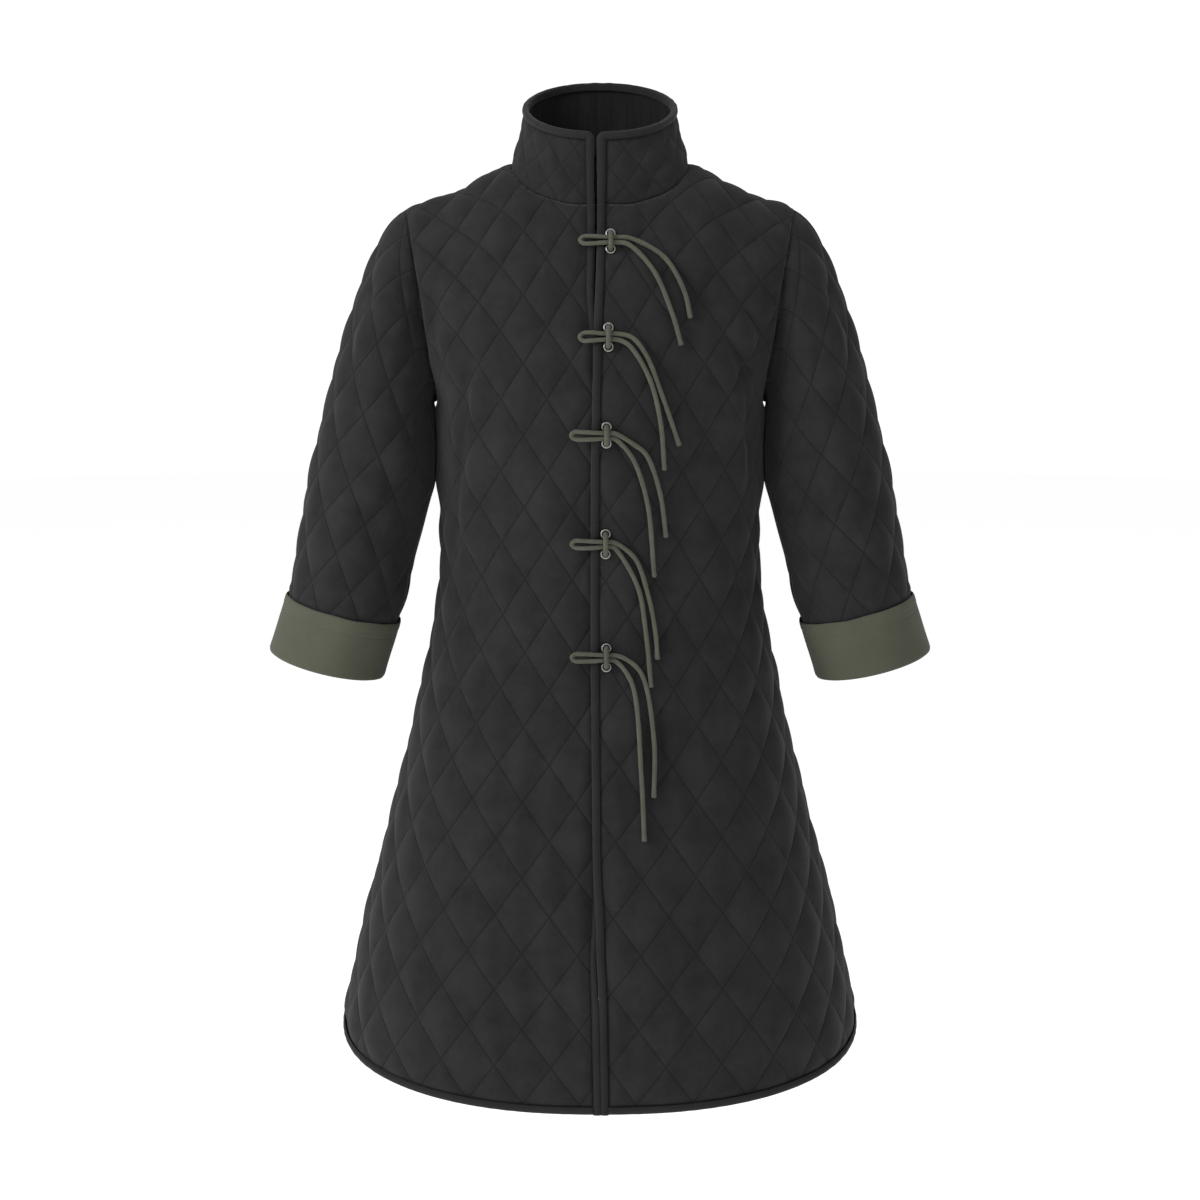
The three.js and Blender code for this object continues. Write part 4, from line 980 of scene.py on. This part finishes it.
CREASES = {
    "front_right": [
        # width, height, then the points it runs through: distance round, distance up
        (7.5, -3.0, [(122, -160), (135, -192), (137, -214), (139.5, -250), (146, -288), (158, -370)]),
        (13.0, 3.4, [(108, -176), (119, -200), (122, -225), (124, -255), (130, -290), (142, -365)]),
        (11.0, 2.4, [(153, -215), (155, -250), (160, -290), (168, -345)]),
        (8.0, -1.9, [(152, -36), (163, -80), (168, -125), (170, -165)]),
        (10.0, 1.9, [(138, -60), (149, -100), (155, -140), (157, -175)]),
    ],
    "front_left": [
        (7.0, -2.9, [(116, -130), (132, -155), (143, -178), (156, -209), (160, -245), (163, -290)]),
        (12.0, 3.0, [(104, -146), (119, -172), (129, -194), (140, -226), (144, -259), (149, -304)]),
        (6.5, -2.2, [(131, -84), (144, -104), (158, -130), (170, -170)]),
        (9.0, 2.2, [(121, -104), (137, -126), (151, -151), (163, -190)]),
    ],
    "back": [
        (9.0, -1.8, [(104, -120), (108, -220), (104, -330), (110, -430)]),
        (10.0, 1.8, [(92, -130), (96, -225), (92, -330), (98, -430)]),
        (9.0, -1.8, [(-104, -120), (-108, -220), (-104, -330), (-110, -430)]),
        (10.0, 1.8, [(-92, -130), (-96, -225), (-92, -330), (-98, -430)]),
        (12.0, 1.4, [(-60, 20), (-20, 12), (20, 12), (60, 20)]),
        (12.0, -1.2, [(-70, -4), (-20, -12), (20, -12), (70, -4)]),
    ],
    "sleeve": [
        (6.0, -1.8, [(150, 185), (110, 168), (70, 172)]),
        (8.0, 1.6, [(150, 170), (110, 152), (70, 158)]),
        (6.0, -1.6, [(160, 225), (125, 205), (90, 212)]),
        (7.0, -1.6, [(-150, 190), (-110, 176), (-70, 182)]),
        (8.0, 1.5, [(-150, 205), (-110, 192), (-70, 196)]),
        (7.0, -1.5, [(60, 395), (40, 360), (44, 310)]),
        (8.0, 1.4, [(75, 385), (54, 355), (58, 310)]),
    ],
    "collar": [
        (4.0, -1.1, [(-206, 60), (-209, 45), (-215, 28)]),
        (5.0, 0.9, [(-198, 60), (-201, 45), (-207, 28)]),
        (5.0, 0.9, [(214, 40), (196, 34), (172, 38)]),
        (4.5, -0.9, [(214, 31), (196, 25), (170, 29)]),
        (5.0, 0.8, [(214, 21), (192, 16), (165, 19)]),
        (4.5, -0.8, [(214, 52), (198, 49), (180, 54)]),
        (5.0, 0.8, [(-214, 18), (-190, 22), (-160, 17)]),
    ],
}


def creased(name, a, b):
    total = np.zeros_like(a)
    for width, height, points in CREASES[name]:
        line = polyline(catmull([(x, y, 0) for x, y in points], np.linspace(0, 1, 13))[:, :2])
        d, _ = nearest(line, a, b)
        ends = [np.hypot(a - points[k][0], b - points[k][1]) for k in (0, -1)]
        fade = step(np.minimum(*ends) / (2.2 * width))
        total += height * np.exp(-(d / width) ** 2) * mix(0.25, 1.0, fade)
    return total


def waves(a, b, seed):
    """Slow, uneven swells of the cloth, from -1 to 1."""
    return (np.sin(a / 37.0 + b / 61.0 + seed) + np.sin(b / 43.0 - a / 83.0 + 2.3 * seed)
            + np.sin(a / 19.0 - b / 97.0 + 3.1 * seed)) / 3


def hanging(a, b):
    """The shallow upright ripples beside the front edge, from the waist to the hem."""
    window = step((-430 - b) / 120) * step((b + 880) / 60) * step((a - 6) / 12) * (1 - step((a - 95) / 60))
    return 0.85 * np.sin(2 * np.pi * (a / 33.0 + 0.35 * np.sin(b / 90.0))) * window


def pillow(p, q):
    """The swelling inside a diamond, from 0 on its stitch lines to 1, a little different in each diamond."""
    t = [2 * np.abs(v - np.rint(v)) for v in (p, q)]
    own = 0.5 + 0.5 * np.sin(12.9898 * np.floor(p) + 78.233 * np.floor(q))
    return (1 - (1 - t[0]) ** 2.3) * (1 - (1 - t[1]) ** 2.3) * mix(0.8, 1.12, own)


# %% Laying a quilted panel
EDGE_OUT, CLOTH_OUT = 2.0, 3.0


def dressed(piece, node):
    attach(piece, "root")
    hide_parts(node)


def declare_sheet(piece, node):
    dressed(piece, node)


def quilted_panel(node, kind, place, corners, fine, turned, shape, holes=(), finish=charcoal):
    """shape(a, b) gives how far the diamonds swell and what else lifts the cloth, in millimetres."""
    name, outline, pattern = f"{node}_quilted", outlines[kind], patterns[kind]
    bm, a, b = cut_grid(pattern, outline, holes, fine, corners)
    p, q = pattern.to_lines(a, b)
    closed = polyline(outline + outline[:1])
    edge = nearest(closed, a, b)[0]
    swell, extra = shape(a, b)
    out = mix(EDGE_OUT, CLOTH_OUT, step(edge / 20)) - 1.1 * np.exp(-(edge / 2.4) ** 2)
    out += PUFF * pillow(p, q) * swell * step(edge / 11)
    out += extra * step((edge - 2) / 14)
    out = np.maximum(out, 0.8)
    piece = piece_of(bm, name, place(a, b, out), {"edge": edge}, finish,
                     {"lines": (p, q), "cloth": (a * MM, b * MM)}, turned)
    wall = piece.vertex_groups.new(name="wall")
    most = float(out.max())
    share = np.clip(0.92 * out / most, 0, 1)
    for level in np.unique(np.round(share, 2)):
        wall.add([int(v) for v in np.flatnonzero(np.round(share, 2) == level)], float(level), "REPLACE")
    solid = piece.modifiers.new("thickness", "SOLIDIFY")
    solid.thickness, solid.offset, solid.vertex_group = most * MM, -1.0, "wall"
    solid.thickness_vertex_group = 0.0
    declare_sheet(piece, node)
    print(name, len(piece.data.polygons), "faces")
    return piece


# %% The two fronts
EYELET_HOLE = 4.3
TIES = table("z x gap loop", [
    (-56.6, 10.2, 15, 29), (-147.3, 8, 17.5, 27), (-237, 6.1, 15.6, 33), (-345, 5.3, 19.6, 32),
    (-457.5, 6.1, 18.3, 33),
])
TAILS = [
    ([(19, 1), (50, -16), (69, -47), (75, -73)], [(17, -5), (40, -29), (58, -70), (66, -98)]),
    ([(22, -1), (35, -17), (50, -55), (66, -101)], [(19, -8), (38, -38), (48, -78), (52, -124)]),
    ([(25, -8), (37, -19), (50, -57), (56, -102)], [(15, -9), (25, -23), (38, -65), (45, -141)]),
    ([(27, -13), (40, -52), (47, -89), (49, -115)], [(16, -13), (31, -46), (38, -89), (43, -142)]),
    ([(18, -1), (33, -16), (45, -80), (45, -135)], [(14, -8), (25, -28), (33, -113), (36, -176)]),
]


def chart(x, z):
    """The place on the flat front of a point seen at x and height z."""
    x, z = np.atleast_1d(np.asarray(x, float)), np.atleast_1d(np.asarray(z, float))
    up = z.copy()
    for _ in range(12):
        up += (z - (body["z"](up) - drop(up, x))) * 0.8
    return round_at("front", x, up), up


eyelets = []
for k in range(5):
    for side, sign in (("upper", 1), ("lower", -1)):
        a, b = chart(TIES["x"][k], TIES["z"][k] + sign * TIES["gap"][k] / 2)
        eyelets.append((f"tie_{k + 1}_eyelet_{side}", float(a[0]), float(b[0])))

circle = np.linspace(0, 2 * np.pi, 25)[:-1]
eyelet_holes = [[(a + EYELET_HOLE * np.cos(t), b + EYELET_HOLE * np.sin(t)) for t in circle]
                for _, a, b in eyelets]


LEANS = table("z body sleeve", [
    (-340, 0, 0), (-328, 0.3, 0.6), (-320, 0.8, 1.4), (-312, 1.6, 2.5), (-304, 2.5, 3.7), (-296, 2.9, 4.0),
    (-288, 2.5, 3.1), (-280, 1.85, 2.35), (-272, 1.65, 1.8), (-264, 1.5, 1.55), (-256, 1.5, 1.55),
    (-248, 1.7, 1.85), (-240, 2.15, 2.3), (-232, 2.4, 2.5), (-224, 2.2, 2.3), (-221, 1.9, 1.9),
    (-217.5, 0, 0),
])
ASIDE, BESIDE = 16.0, 15.0


def leaning(name, z, aside):
    """How far the cloth swells where sleeve and body rest against each other, beside the seam between them."""
    return np.interp(z, LEANS["z"], LEANS[name]) * np.exp(-((aside - ASIDE) / BESIDE) ** 2)


def past_arm(face, a, b):
    """0 on the cloth that faces the sleeve, where the diamonds are pressed flat, and 1 elsewhere."""
    return 1 - step((a - 0.62 * body_half(face, np.minimum(b, 0))) / 25) * step((b + 345) / 40) * (
        1 - step((b + 205) / 60))


def front_shape(side):
    def shape(a, b):
        swell = arm = past_arm("front", a, b)
        extra = creased(f"front_{side}", a, b) + hanging(a, b)
        extra = extra + 0.5 * waves(a, b, 1.0 if side == "left" else 2.0)
        if side == "left":
            for _, ea, eb in eyelets:
                flat = step((np.hypot(a - ea, b - eb) - 7) / 10)
                swell = np.minimum(swell, flat)
                extra = extra * flat
        return swell, extra * arm + leaning("body", b, body_half("front", np.minimum(b, 0)) - a)

    return shape


def front_corners(side):
    points = outlines[f"front_{side}"]
    low = min(points, key=lambda c: c[0] * 0.5 + c[1])
    armpit = (hole_of("front")["round"][0], ARMPIT)
    neck, tip = (NECK_FRONT[-1][0], TOP), (hole_of("front")["round"][-1], TOP)
    side_low = max(points, key=lambda c: c[0])
    return [low, armpit, neck, tip, side_low, points[-1], points[0]]


for side, place, turned in (("left", map_left, False), ("right", map_right, True)):
    quilted_panel(f"front_{side}", f"front_{side}", place, front_corners(side), 10, turned, front_shape(side),
                  holes=eyelet_holes if side == "left" else ())


# %% The back
def back_shape(a, b):
    side = np.abs(a)
    arm = past_arm("back", side, b)
    extra = creased("back", a, b) + 0.6 * waves(a, b, 0.4)
    return arm, extra * arm + leaning("body", b, body_half("back", np.minimum(b, 0)) - side)


hole_tip = (hole_of("back")["round"][-1], TOP)
hole_foot = (hole_of("back")["round"][0], ARMPIT)
side_foot = max(outlines["back"], key=lambda c: c[0])
back_corners = [(s * a, b) for a, b in (hole_tip, hole_foot, side_foot, (NECK_BACK[-1][0], TOP))
                for s in (1, -1)]
quilted_panel("back", "back", map_back, back_corners, 9, True, back_shape)


# %% The sleeves
def sleeve_shape(a, b):
    under = 1 - step((np.abs(a) - 125) / 20) * step((b - 95) / 40)
    extra = creased("sleeve", a, b) + 0.5 * waves(a, b, 1.7)
    lean = leaning("sleeve", map_sleeve(a, b, 0 * a)[:, 2], SLEEVE_ROUND / 2 - np.abs(a))
    return under * step((b - 58) / 10), extra * under * step((b - 64) / 14) + lean


sleeve_corners = [(s * SLEEVE_ROUND / 2, up) for s in (1, -1) for up in (1.5, float(hole_length[0]))]
for side, place, turned in (("left", map_sleeve, True), ("right", map_sleeve_right, False)):
    quilted_panel(f"sleeve_{side}", "sleeve", place, sleeve_corners, 10, turned, sleeve_shape)


# %% The collar
def collar_shape(a, b):
    pull = 0.9 * np.exp(-((np.abs(a) - 216) / 20) ** 2) * np.sin(b / 8.0 + np.abs(a) / 9.0)
    soft = 0.8 * np.sin(a / 17.0 + 0.8 * np.sin(b / 14.0)) * step((70 - b) / 30)
    return np.full(a.shape, 0.42), pull + 0.5 * soft + 0.3 * waves(a * 2, b * 3, 0.9) + creased("collar", a, b)


collar = quilted_panel("collar", "collar", map_collar, outlines["collar"], 7, True, collar_shape,
                       finish=collar_cotton)
collar.data.materials.append(inner_cotton_painted_shade)
collar.modifiers["thickness"].material_offset = 1

# %% [markdown]
# ## Bindings and cuffs
#
# A binding is a strip of cloth folded round the panel's edge and sewn down. It is one thin shell bent round a
# section: out over the edge, round it and back along the inside. Its fold is soft, and small wrinkles run
# across it where the machine pushed the cloth. A cuff is a canvas sleeve end turned back up over the cloth.

# %% A strip bent round an edge
def changed(piece, change):
    """Lets change(bm) edit a piece's mesh."""
    bm = bmesh.new()
    bm.from_mesh(piece.data)
    change(bm)
    bm.to_mesh(piece.data)
    bm.free()


def strip(name, path, section, place, finish, thick, turned, ruffle, sewn, steps=14, closed=False):
    """path rows: round, up, inward round, inward up, length so far. section rows: inward, out."""
    profile, s = evenly(catmull(section, np.linspace(0, 1, 200)), steps + 1)
    rows = len(path)
    bm = bmesh.new()
    bmesh.ops.create_grid(bm, x_segments=steps, y_segments=rows - 1, size=0.5)
    at = np.array([v.co[:2] for v in bm.verts])
    k = np.rint((at[:, 0] + 0.5) * steps).astype(int)
    n = np.rint((at[:, 1] + 0.5) * (rows - 1)).astype(int)
    along, length = s[k], path[n, 4]
    inward, out = ruffle(profile[k, 0], profile[k, 1], along, length, s[-1])
    a, b = path[n, 0] + inward * path[n, 2], path[n, 1] + inward * path[n, 3]
    edge = np.minimum(along, s[-1] - along)
    thread = np.exp(-((along - sewn) / 0.5) ** 2)
    piece = piece_of(bm, name, place(a, b, out), {"edge": edge, "sewn": -thread}, finish,
                     {"cloth": (along * MM, length * MM)}, turned)
    if closed:
        changed(piece, lambda bm: bmesh.ops.remove_doubles(bm, verts=bm.verts, dist=0.00002))
    solid = piece.modifiers.new("thickness", "SOLIDIFY")
    solid.thickness, solid.offset = thick * MM, 0.0
    print(name, len(piece.data.polygons), "faces")
    return piece, s[-1]


def with_length(points):
    """Adds to rows of (round, up, inward round, inward up) their length along the line."""
    p = np.asarray(points, float)
    return np.column_stack([p, lengths(p[:, :2])])


def rolled(inward, out, along, length, whole):
    """Soft wrinkles across a binding, strongest at its fold."""
    share = 1 - np.abs(2 * along / whole - 1)
    wrinkle = np.sin(length / 3.1 + 1.3 * np.sin(length / 17.0))
    wrinkle += 0.7 * np.sin(length / 1.9 + 2.0 * np.sin(length / 29.0))
    swell = 0.5 + 0.5 * np.sin(length / 23.0 + np.sin(length / 41.0))
    out = out + 0.26 * wrinkle * share * np.sign(out + 0.5)
    return inward + 0.14 * wrinkle * share * swell + 0.14 * share * swell, out


TAPE_THICK, TAPE_STITCH, TAPE_DEEP = 0.85, 1.4, 7.85


def bind_section(slack):
    """How the tape goes round an edge. slack is how far behind the cloth its back half lies."""
    return [(7.8, 3.7), (6.9, 3.9), (5.6, 4.35), (3.6, 4.55), (1.9, 4.2), (0.75, 3.0), (0.55, 1.2),
            (0.75, -0.6 * slack), (1.7, -slack - 0.45), (4.5, -slack - 0.6), (7.8, -slack - 0.55)]


def binding(name, node, path, slack, place, turned):
    path = with_length(path)
    piece, wide = strip(name, path, bind_section(slack), place, tape_cloth, TAPE_THICK, turned, rolled,
                        TAPE_STITCH)
    declare_sheet(piece, node)


# %% Front, hem and collar bindings
PITCH, SEAM_GAP = 2.2, 0.34
EDGE_SLACK, HEM_SLACK, COLLAR_SLACK = 1.45, 1.9, 0.9


def hem_rows(rounds, ups):
    """The rows of a hem's path, for which inward is up the cloth."""
    return np.column_stack([rounds, ups, 0 * ups, np.ones_like(ups)])


for side, place, turned in (("left", map_left, False), ("right", map_right, True)):
    front, centre = f"front_{side}", centre_of[side]
    top, low = float(neck_front["up"][0]) - 0.4, hem_up("front", 0)
    ups = np.linspace(top, low, int(np.ceil((top - low) / PITCH)) + 1)
    meet = 1.15 * step((-690 - ups) / 60)
    rows = np.column_stack([centre(ups) - meet, ups, np.ones_like(ups), 0 * ups])
    binding(f"{front}_edge_bound", f"{front}_edge_binding", rows, EDGE_SLACK, place, not turned)
    share = np.linspace(0, 1, 130)
    ups = hem_up("front", share)
    rounds = mix(centre(low) - meet[-1] + TAPE_DEEP, body_half("front", ups) - SEAM_GAP, share)
    binding(f"{front}_hem_bound", f"{front}_hem_binding", hem_rows(rounds, ups), HEM_SLACK, place, turned)

share = np.linspace(-1, 1, 280)
ups = hem_up("back", np.abs(share))
rows = hem_rows(share * (body_half("back", ups) - SEAM_GAP), ups)
binding("back_hem_bound", "back_hem_binding", rows, HEM_SLACK, map_back, True)

ROUND = 7.0


def collar_side(end, sign):
    """Up one end of the collar and round its corner. sign points from the end along the collar."""
    rows = [(end, up, sign, 0) for up in np.linspace(-1.5, COLLAR_HIGH - ROUND, 28)]
    for t in np.linspace(0, np.pi / 2, 7)[1:-1]:
        c, s = np.cos(t), np.sin(t)
        rows.append((end + sign * ROUND * (1 - c), COLLAR_HIGH - ROUND * (1 - s), sign * c, -s))
    return rows


first, last = collar_ends
rim = [(a, COLLAR_HIGH, 0, -1) for a in np.linspace(first + ROUND, last - ROUND, 236)]
rows = collar_side(first, 1) + rim + collar_side(last, -1)[::-1]
binding("collar_bound", "collar_binding", rows, COLLAR_SLACK, map_collar, True)


# %% Turned canvas cuffs
CANVAS_THICK, CUFF_STITCH = 0.9, 67.5
CUFF_SECTION = [(13.8, -2.4), (9, -2.65), (3, -2.75), (-1.2, -2.3), (-2.1, 0.4), (-2.1, 3.2), (-1.2, 5.0),
                (2, 5.5), (8, 5.35), (20, 5.2), (34, 5.3), (48, 5.15), (55, 4.95), (58.6, 4.75)]


def canvas_folds(inward, out, along, length, whole):
    """The cuff has soft upright ripples, and a hem along its top edge."""
    share = np.clip((along - 20) / (whole - 20), 0, 1)
    ripple = 0.35 * np.sin(7 * TURN * length + 1.1) + 0.25 * np.sin(11 * TURN * length + 0.4)
    hem = 0.45 * step((along - whole + 9) / 1.2) * (1 - step((along - whole + 1.6) / 1.6))
    return inward - share * 0.6 * ripple, out + share * ripple * 0.8 + hem


across = np.linspace(0, SLEEVE_ROUND, 181)
rows = with_length(hem_rows(across, 0 * across))
rows[-1, 0] = 0.0
for side, place, turned in (("left", map_sleeve, False), ("right", map_sleeve_right, True)):
    piece, deep = strip(f"cuff_{side}_canvas", rows, CUFF_SECTION, place, canvas, CANVAS_THICK, turned,
                        canvas_folds, CUFF_STITCH, 44, True)
    declare_sheet(piece, f"cuff_{side}")

# %% [markdown]
# ## Ties
#
# Each tie is cord: a short bar from eyelet to eyelet, a loop that reaches across to the right front, and two
# tails that hang down the left front, each to its cut end. A tube is carried along its line with a frame that
# turns as little as it can, so that the braid doesn't twist. The eyelets are pressed rings.

# %% Cords
CORD, BAR_WIDE, LOOP_WIDE = 4.6, 4.8, 4.2
STRAND = CORD / 2 + 0.16
REST = 4.85 + CORD / 2
OVER = REST + CORD + 0.7


def on_front(points):
    """Places in millimetres from rows of x, height and distance above the inside of the cloth."""
    x, z, out = np.asarray(points, float).T
    a, b = chart(np.abs(x), z)
    return map_left(np.sign(x + 1e-9) * a, b, out)


SIDES = 20


def shut(bm):
    bmesh.ops.remove_doubles(bm, verts=bm.verts, dist=0.00001)
    bmesh.ops.holes_fill(bm, edges=[e for e in bm.edges if e.is_boundary], sides=0)


def cord_piece(name, line, length, width, flare):
    """A round cord along the line, its ends closed, a cut end a little frayed open."""
    count = len(line)
    bm = bmesh.new()
    bmesh.ops.create_grid(bm, x_segments=SIDES, y_segments=count - 1, size=0.5)
    at = np.array([v.co[:2] for v in bm.verts])
    k, n = np.rint((at[:, 0] + 0.5) * SIDES), np.rint((at[:, 1] + 0.5) * (count - 1)).astype(int)
    ahead = unit(np.gradient(line, axis=0))
    side = unit(np.cross(ahead[0], [0.3, -1.0, 0.2]))
    sides = [side]
    for t in ahead[1:]:
        side = unit(side - t * np.dot(side, t))
        sides.append(side)
    side = np.array(sides)
    other = np.cross(ahead, side)
    turn = 2 * np.pi * k / SIDES
    so_far = np.linspace(0, length, count)
    radius = np.full(count, width / 2) * (1 + 0.03 * np.sin(so_far / 4.1) + 0.02 * np.sin(so_far / 2.3 + 1))
    if flare:
        radius *= 1 + 0.13 * np.exp(-((length - so_far) / 3.0) ** 2)
    ends = 1 - 0.35 * np.exp(-(so_far / 0.6) ** 2) - 0.30 * np.exp(-((length - so_far) / 0.4) ** 2)
    r = (radius * ends)[n]
    points = line[n] + side[n] * (r * np.cos(turn))[:, None] + other[n] * (r * np.sin(turn))[:, None]
    piece = piece_of(bm, name, points, {"edge": np.minimum(so_far, length - so_far)[n]}, cord_cloth,
                     {"cloth": (k / SIDES, so_far[n] * MM)})
    changed(piece, shut)
    return piece


def lay_cord(node, points, width, step_length, flare=False):
    way = catmull(on_front(points), np.linspace(0, 1, 24 * (len(points) - 1) + 1))
    length = float(lengths(way)[-1])
    line = evenly(way, max(12, int(length / step_length)))[0]
    piece = cord_piece(f"{node}_cord", line, length, width, flare)
    dressed(piece, node)
    print(node, round(length), "mm")


for k in range(5):
    name, z, half = f"tie_{k + 1}", TIES["z"][k], TIES["gap"][k] / 2
    x, loop = TIES["x"][k], TIES["loop"][k]
    bar = [(half, -1.2), (half, 4), (half - 0.8, OVER - 2.2), (half * 0.45, OVER), (-half * 0.45, OVER),
           (-half + 0.8, OVER - 2.2), (-half, 4), (-half, -1.2)]
    lay_cord(f"{name}_bar", [(x, z + dz, out) for dz, out in bar], BAR_WIDE, 0.9)
    far = REST + 0.6 - 2.5 * float(lift(np.zeros(1), np.array([z]))[0]) / FRONT_LIFT
    way = [(-0.2, STRAND, REST), (-8, STRAND + 0.4, REST + 0.6), (10 - loop, 3.6, REST + 0.4),
           (3 - loop, 3.4 * 0.95, far), (-loop, 0, far)]
    way += [(dx, -dz, out) for dx, dz, out in way[:4][::-1]]
    lay_cord(f"{name}_loop", [(x + dx, z + dz, out) for dx, dz, out in way], LOOP_WIDE, 0.9)
    for (side, sign), tail in zip((("upper", 1), ("lower", -1)), TAILS[k]):
        way = [(0.2, sign * STRAND, REST), (7, sign * STRAND, REST + 0.6)]
        way += [(dx, dz, 9.2 if n == 0 else 9.4) for n, (dx, dz) in enumerate(tail)]
        lay_cord(f"{name}_tail_{side}", [(x + dx, z + dz, out) for dx, dz, out in way], CORD, 1.2, True)


# %% Eyelets
def eyelet_piece(name, a, b):
    """A pressed ring: rolled rim in front, barrel through the cloth, flat washer behind."""
    profile = [(3.05, -1.2), (3.2, -1.9), (4.1, -1.95), (4.9, -1.6), (5.0, -1.25), (4.2, -1.15),
               (3.65, -0.8), (3.65, 3.2), (4.2, 3.9), (4.85, 4.0), (5.0, 4.2), (4.7, 4.5), (4.1, 4.72),
               (3.5, 4.6), (3.1, 4.25), (2.98, 3.6), (3.0, 1.0), (3.02, -0.6)]
    bm = bmesh.new()
    ring = [bm.verts.new((r, 0, h)) for r, h in profile]
    edges = [bm.edges.new((ring[k], ring[(k + 1) % len(ring)])) for k in range(len(ring))]
    bmesh.ops.spin(bm, geom=ring + edges, cent=(0, 0, 0), axis=(0, 0, 1), angle=2 * np.pi, steps=48,
                   use_merge=True)
    bmesh.ops.remove_doubles(bm, verts=bm.verts, dist=0.01)
    bmesh.ops.recalc_face_normals(bm, faces=bm.faces)
    at, above = map_left(np.array([a, a]), np.array([b, b]), np.array([0.0, 1.0]))
    out = unit(above - at)
    side = unit(np.cross([0, 0, 1.0], out))
    up = np.cross(out, side)
    local = np.array([v.co[:] for v in bm.verts])
    points = at + local[:, :1] * side + local[:, 1:2] * up + local[:, 2:] * out
    dressed(piece_of(bm, f"{name}_ring", points, {}, nickel), name)


for name, a, b in eyelets:
    eyelet_piece(name, a, b)
print("eyelets:", len(eyelets))

# %% [markdown]
# ## The end
#
# At the end the scene is brought up to date. The dressed part has to fill the box of its
# solids.

# %% The scene brought up to date
bpy.context.view_layer.update()
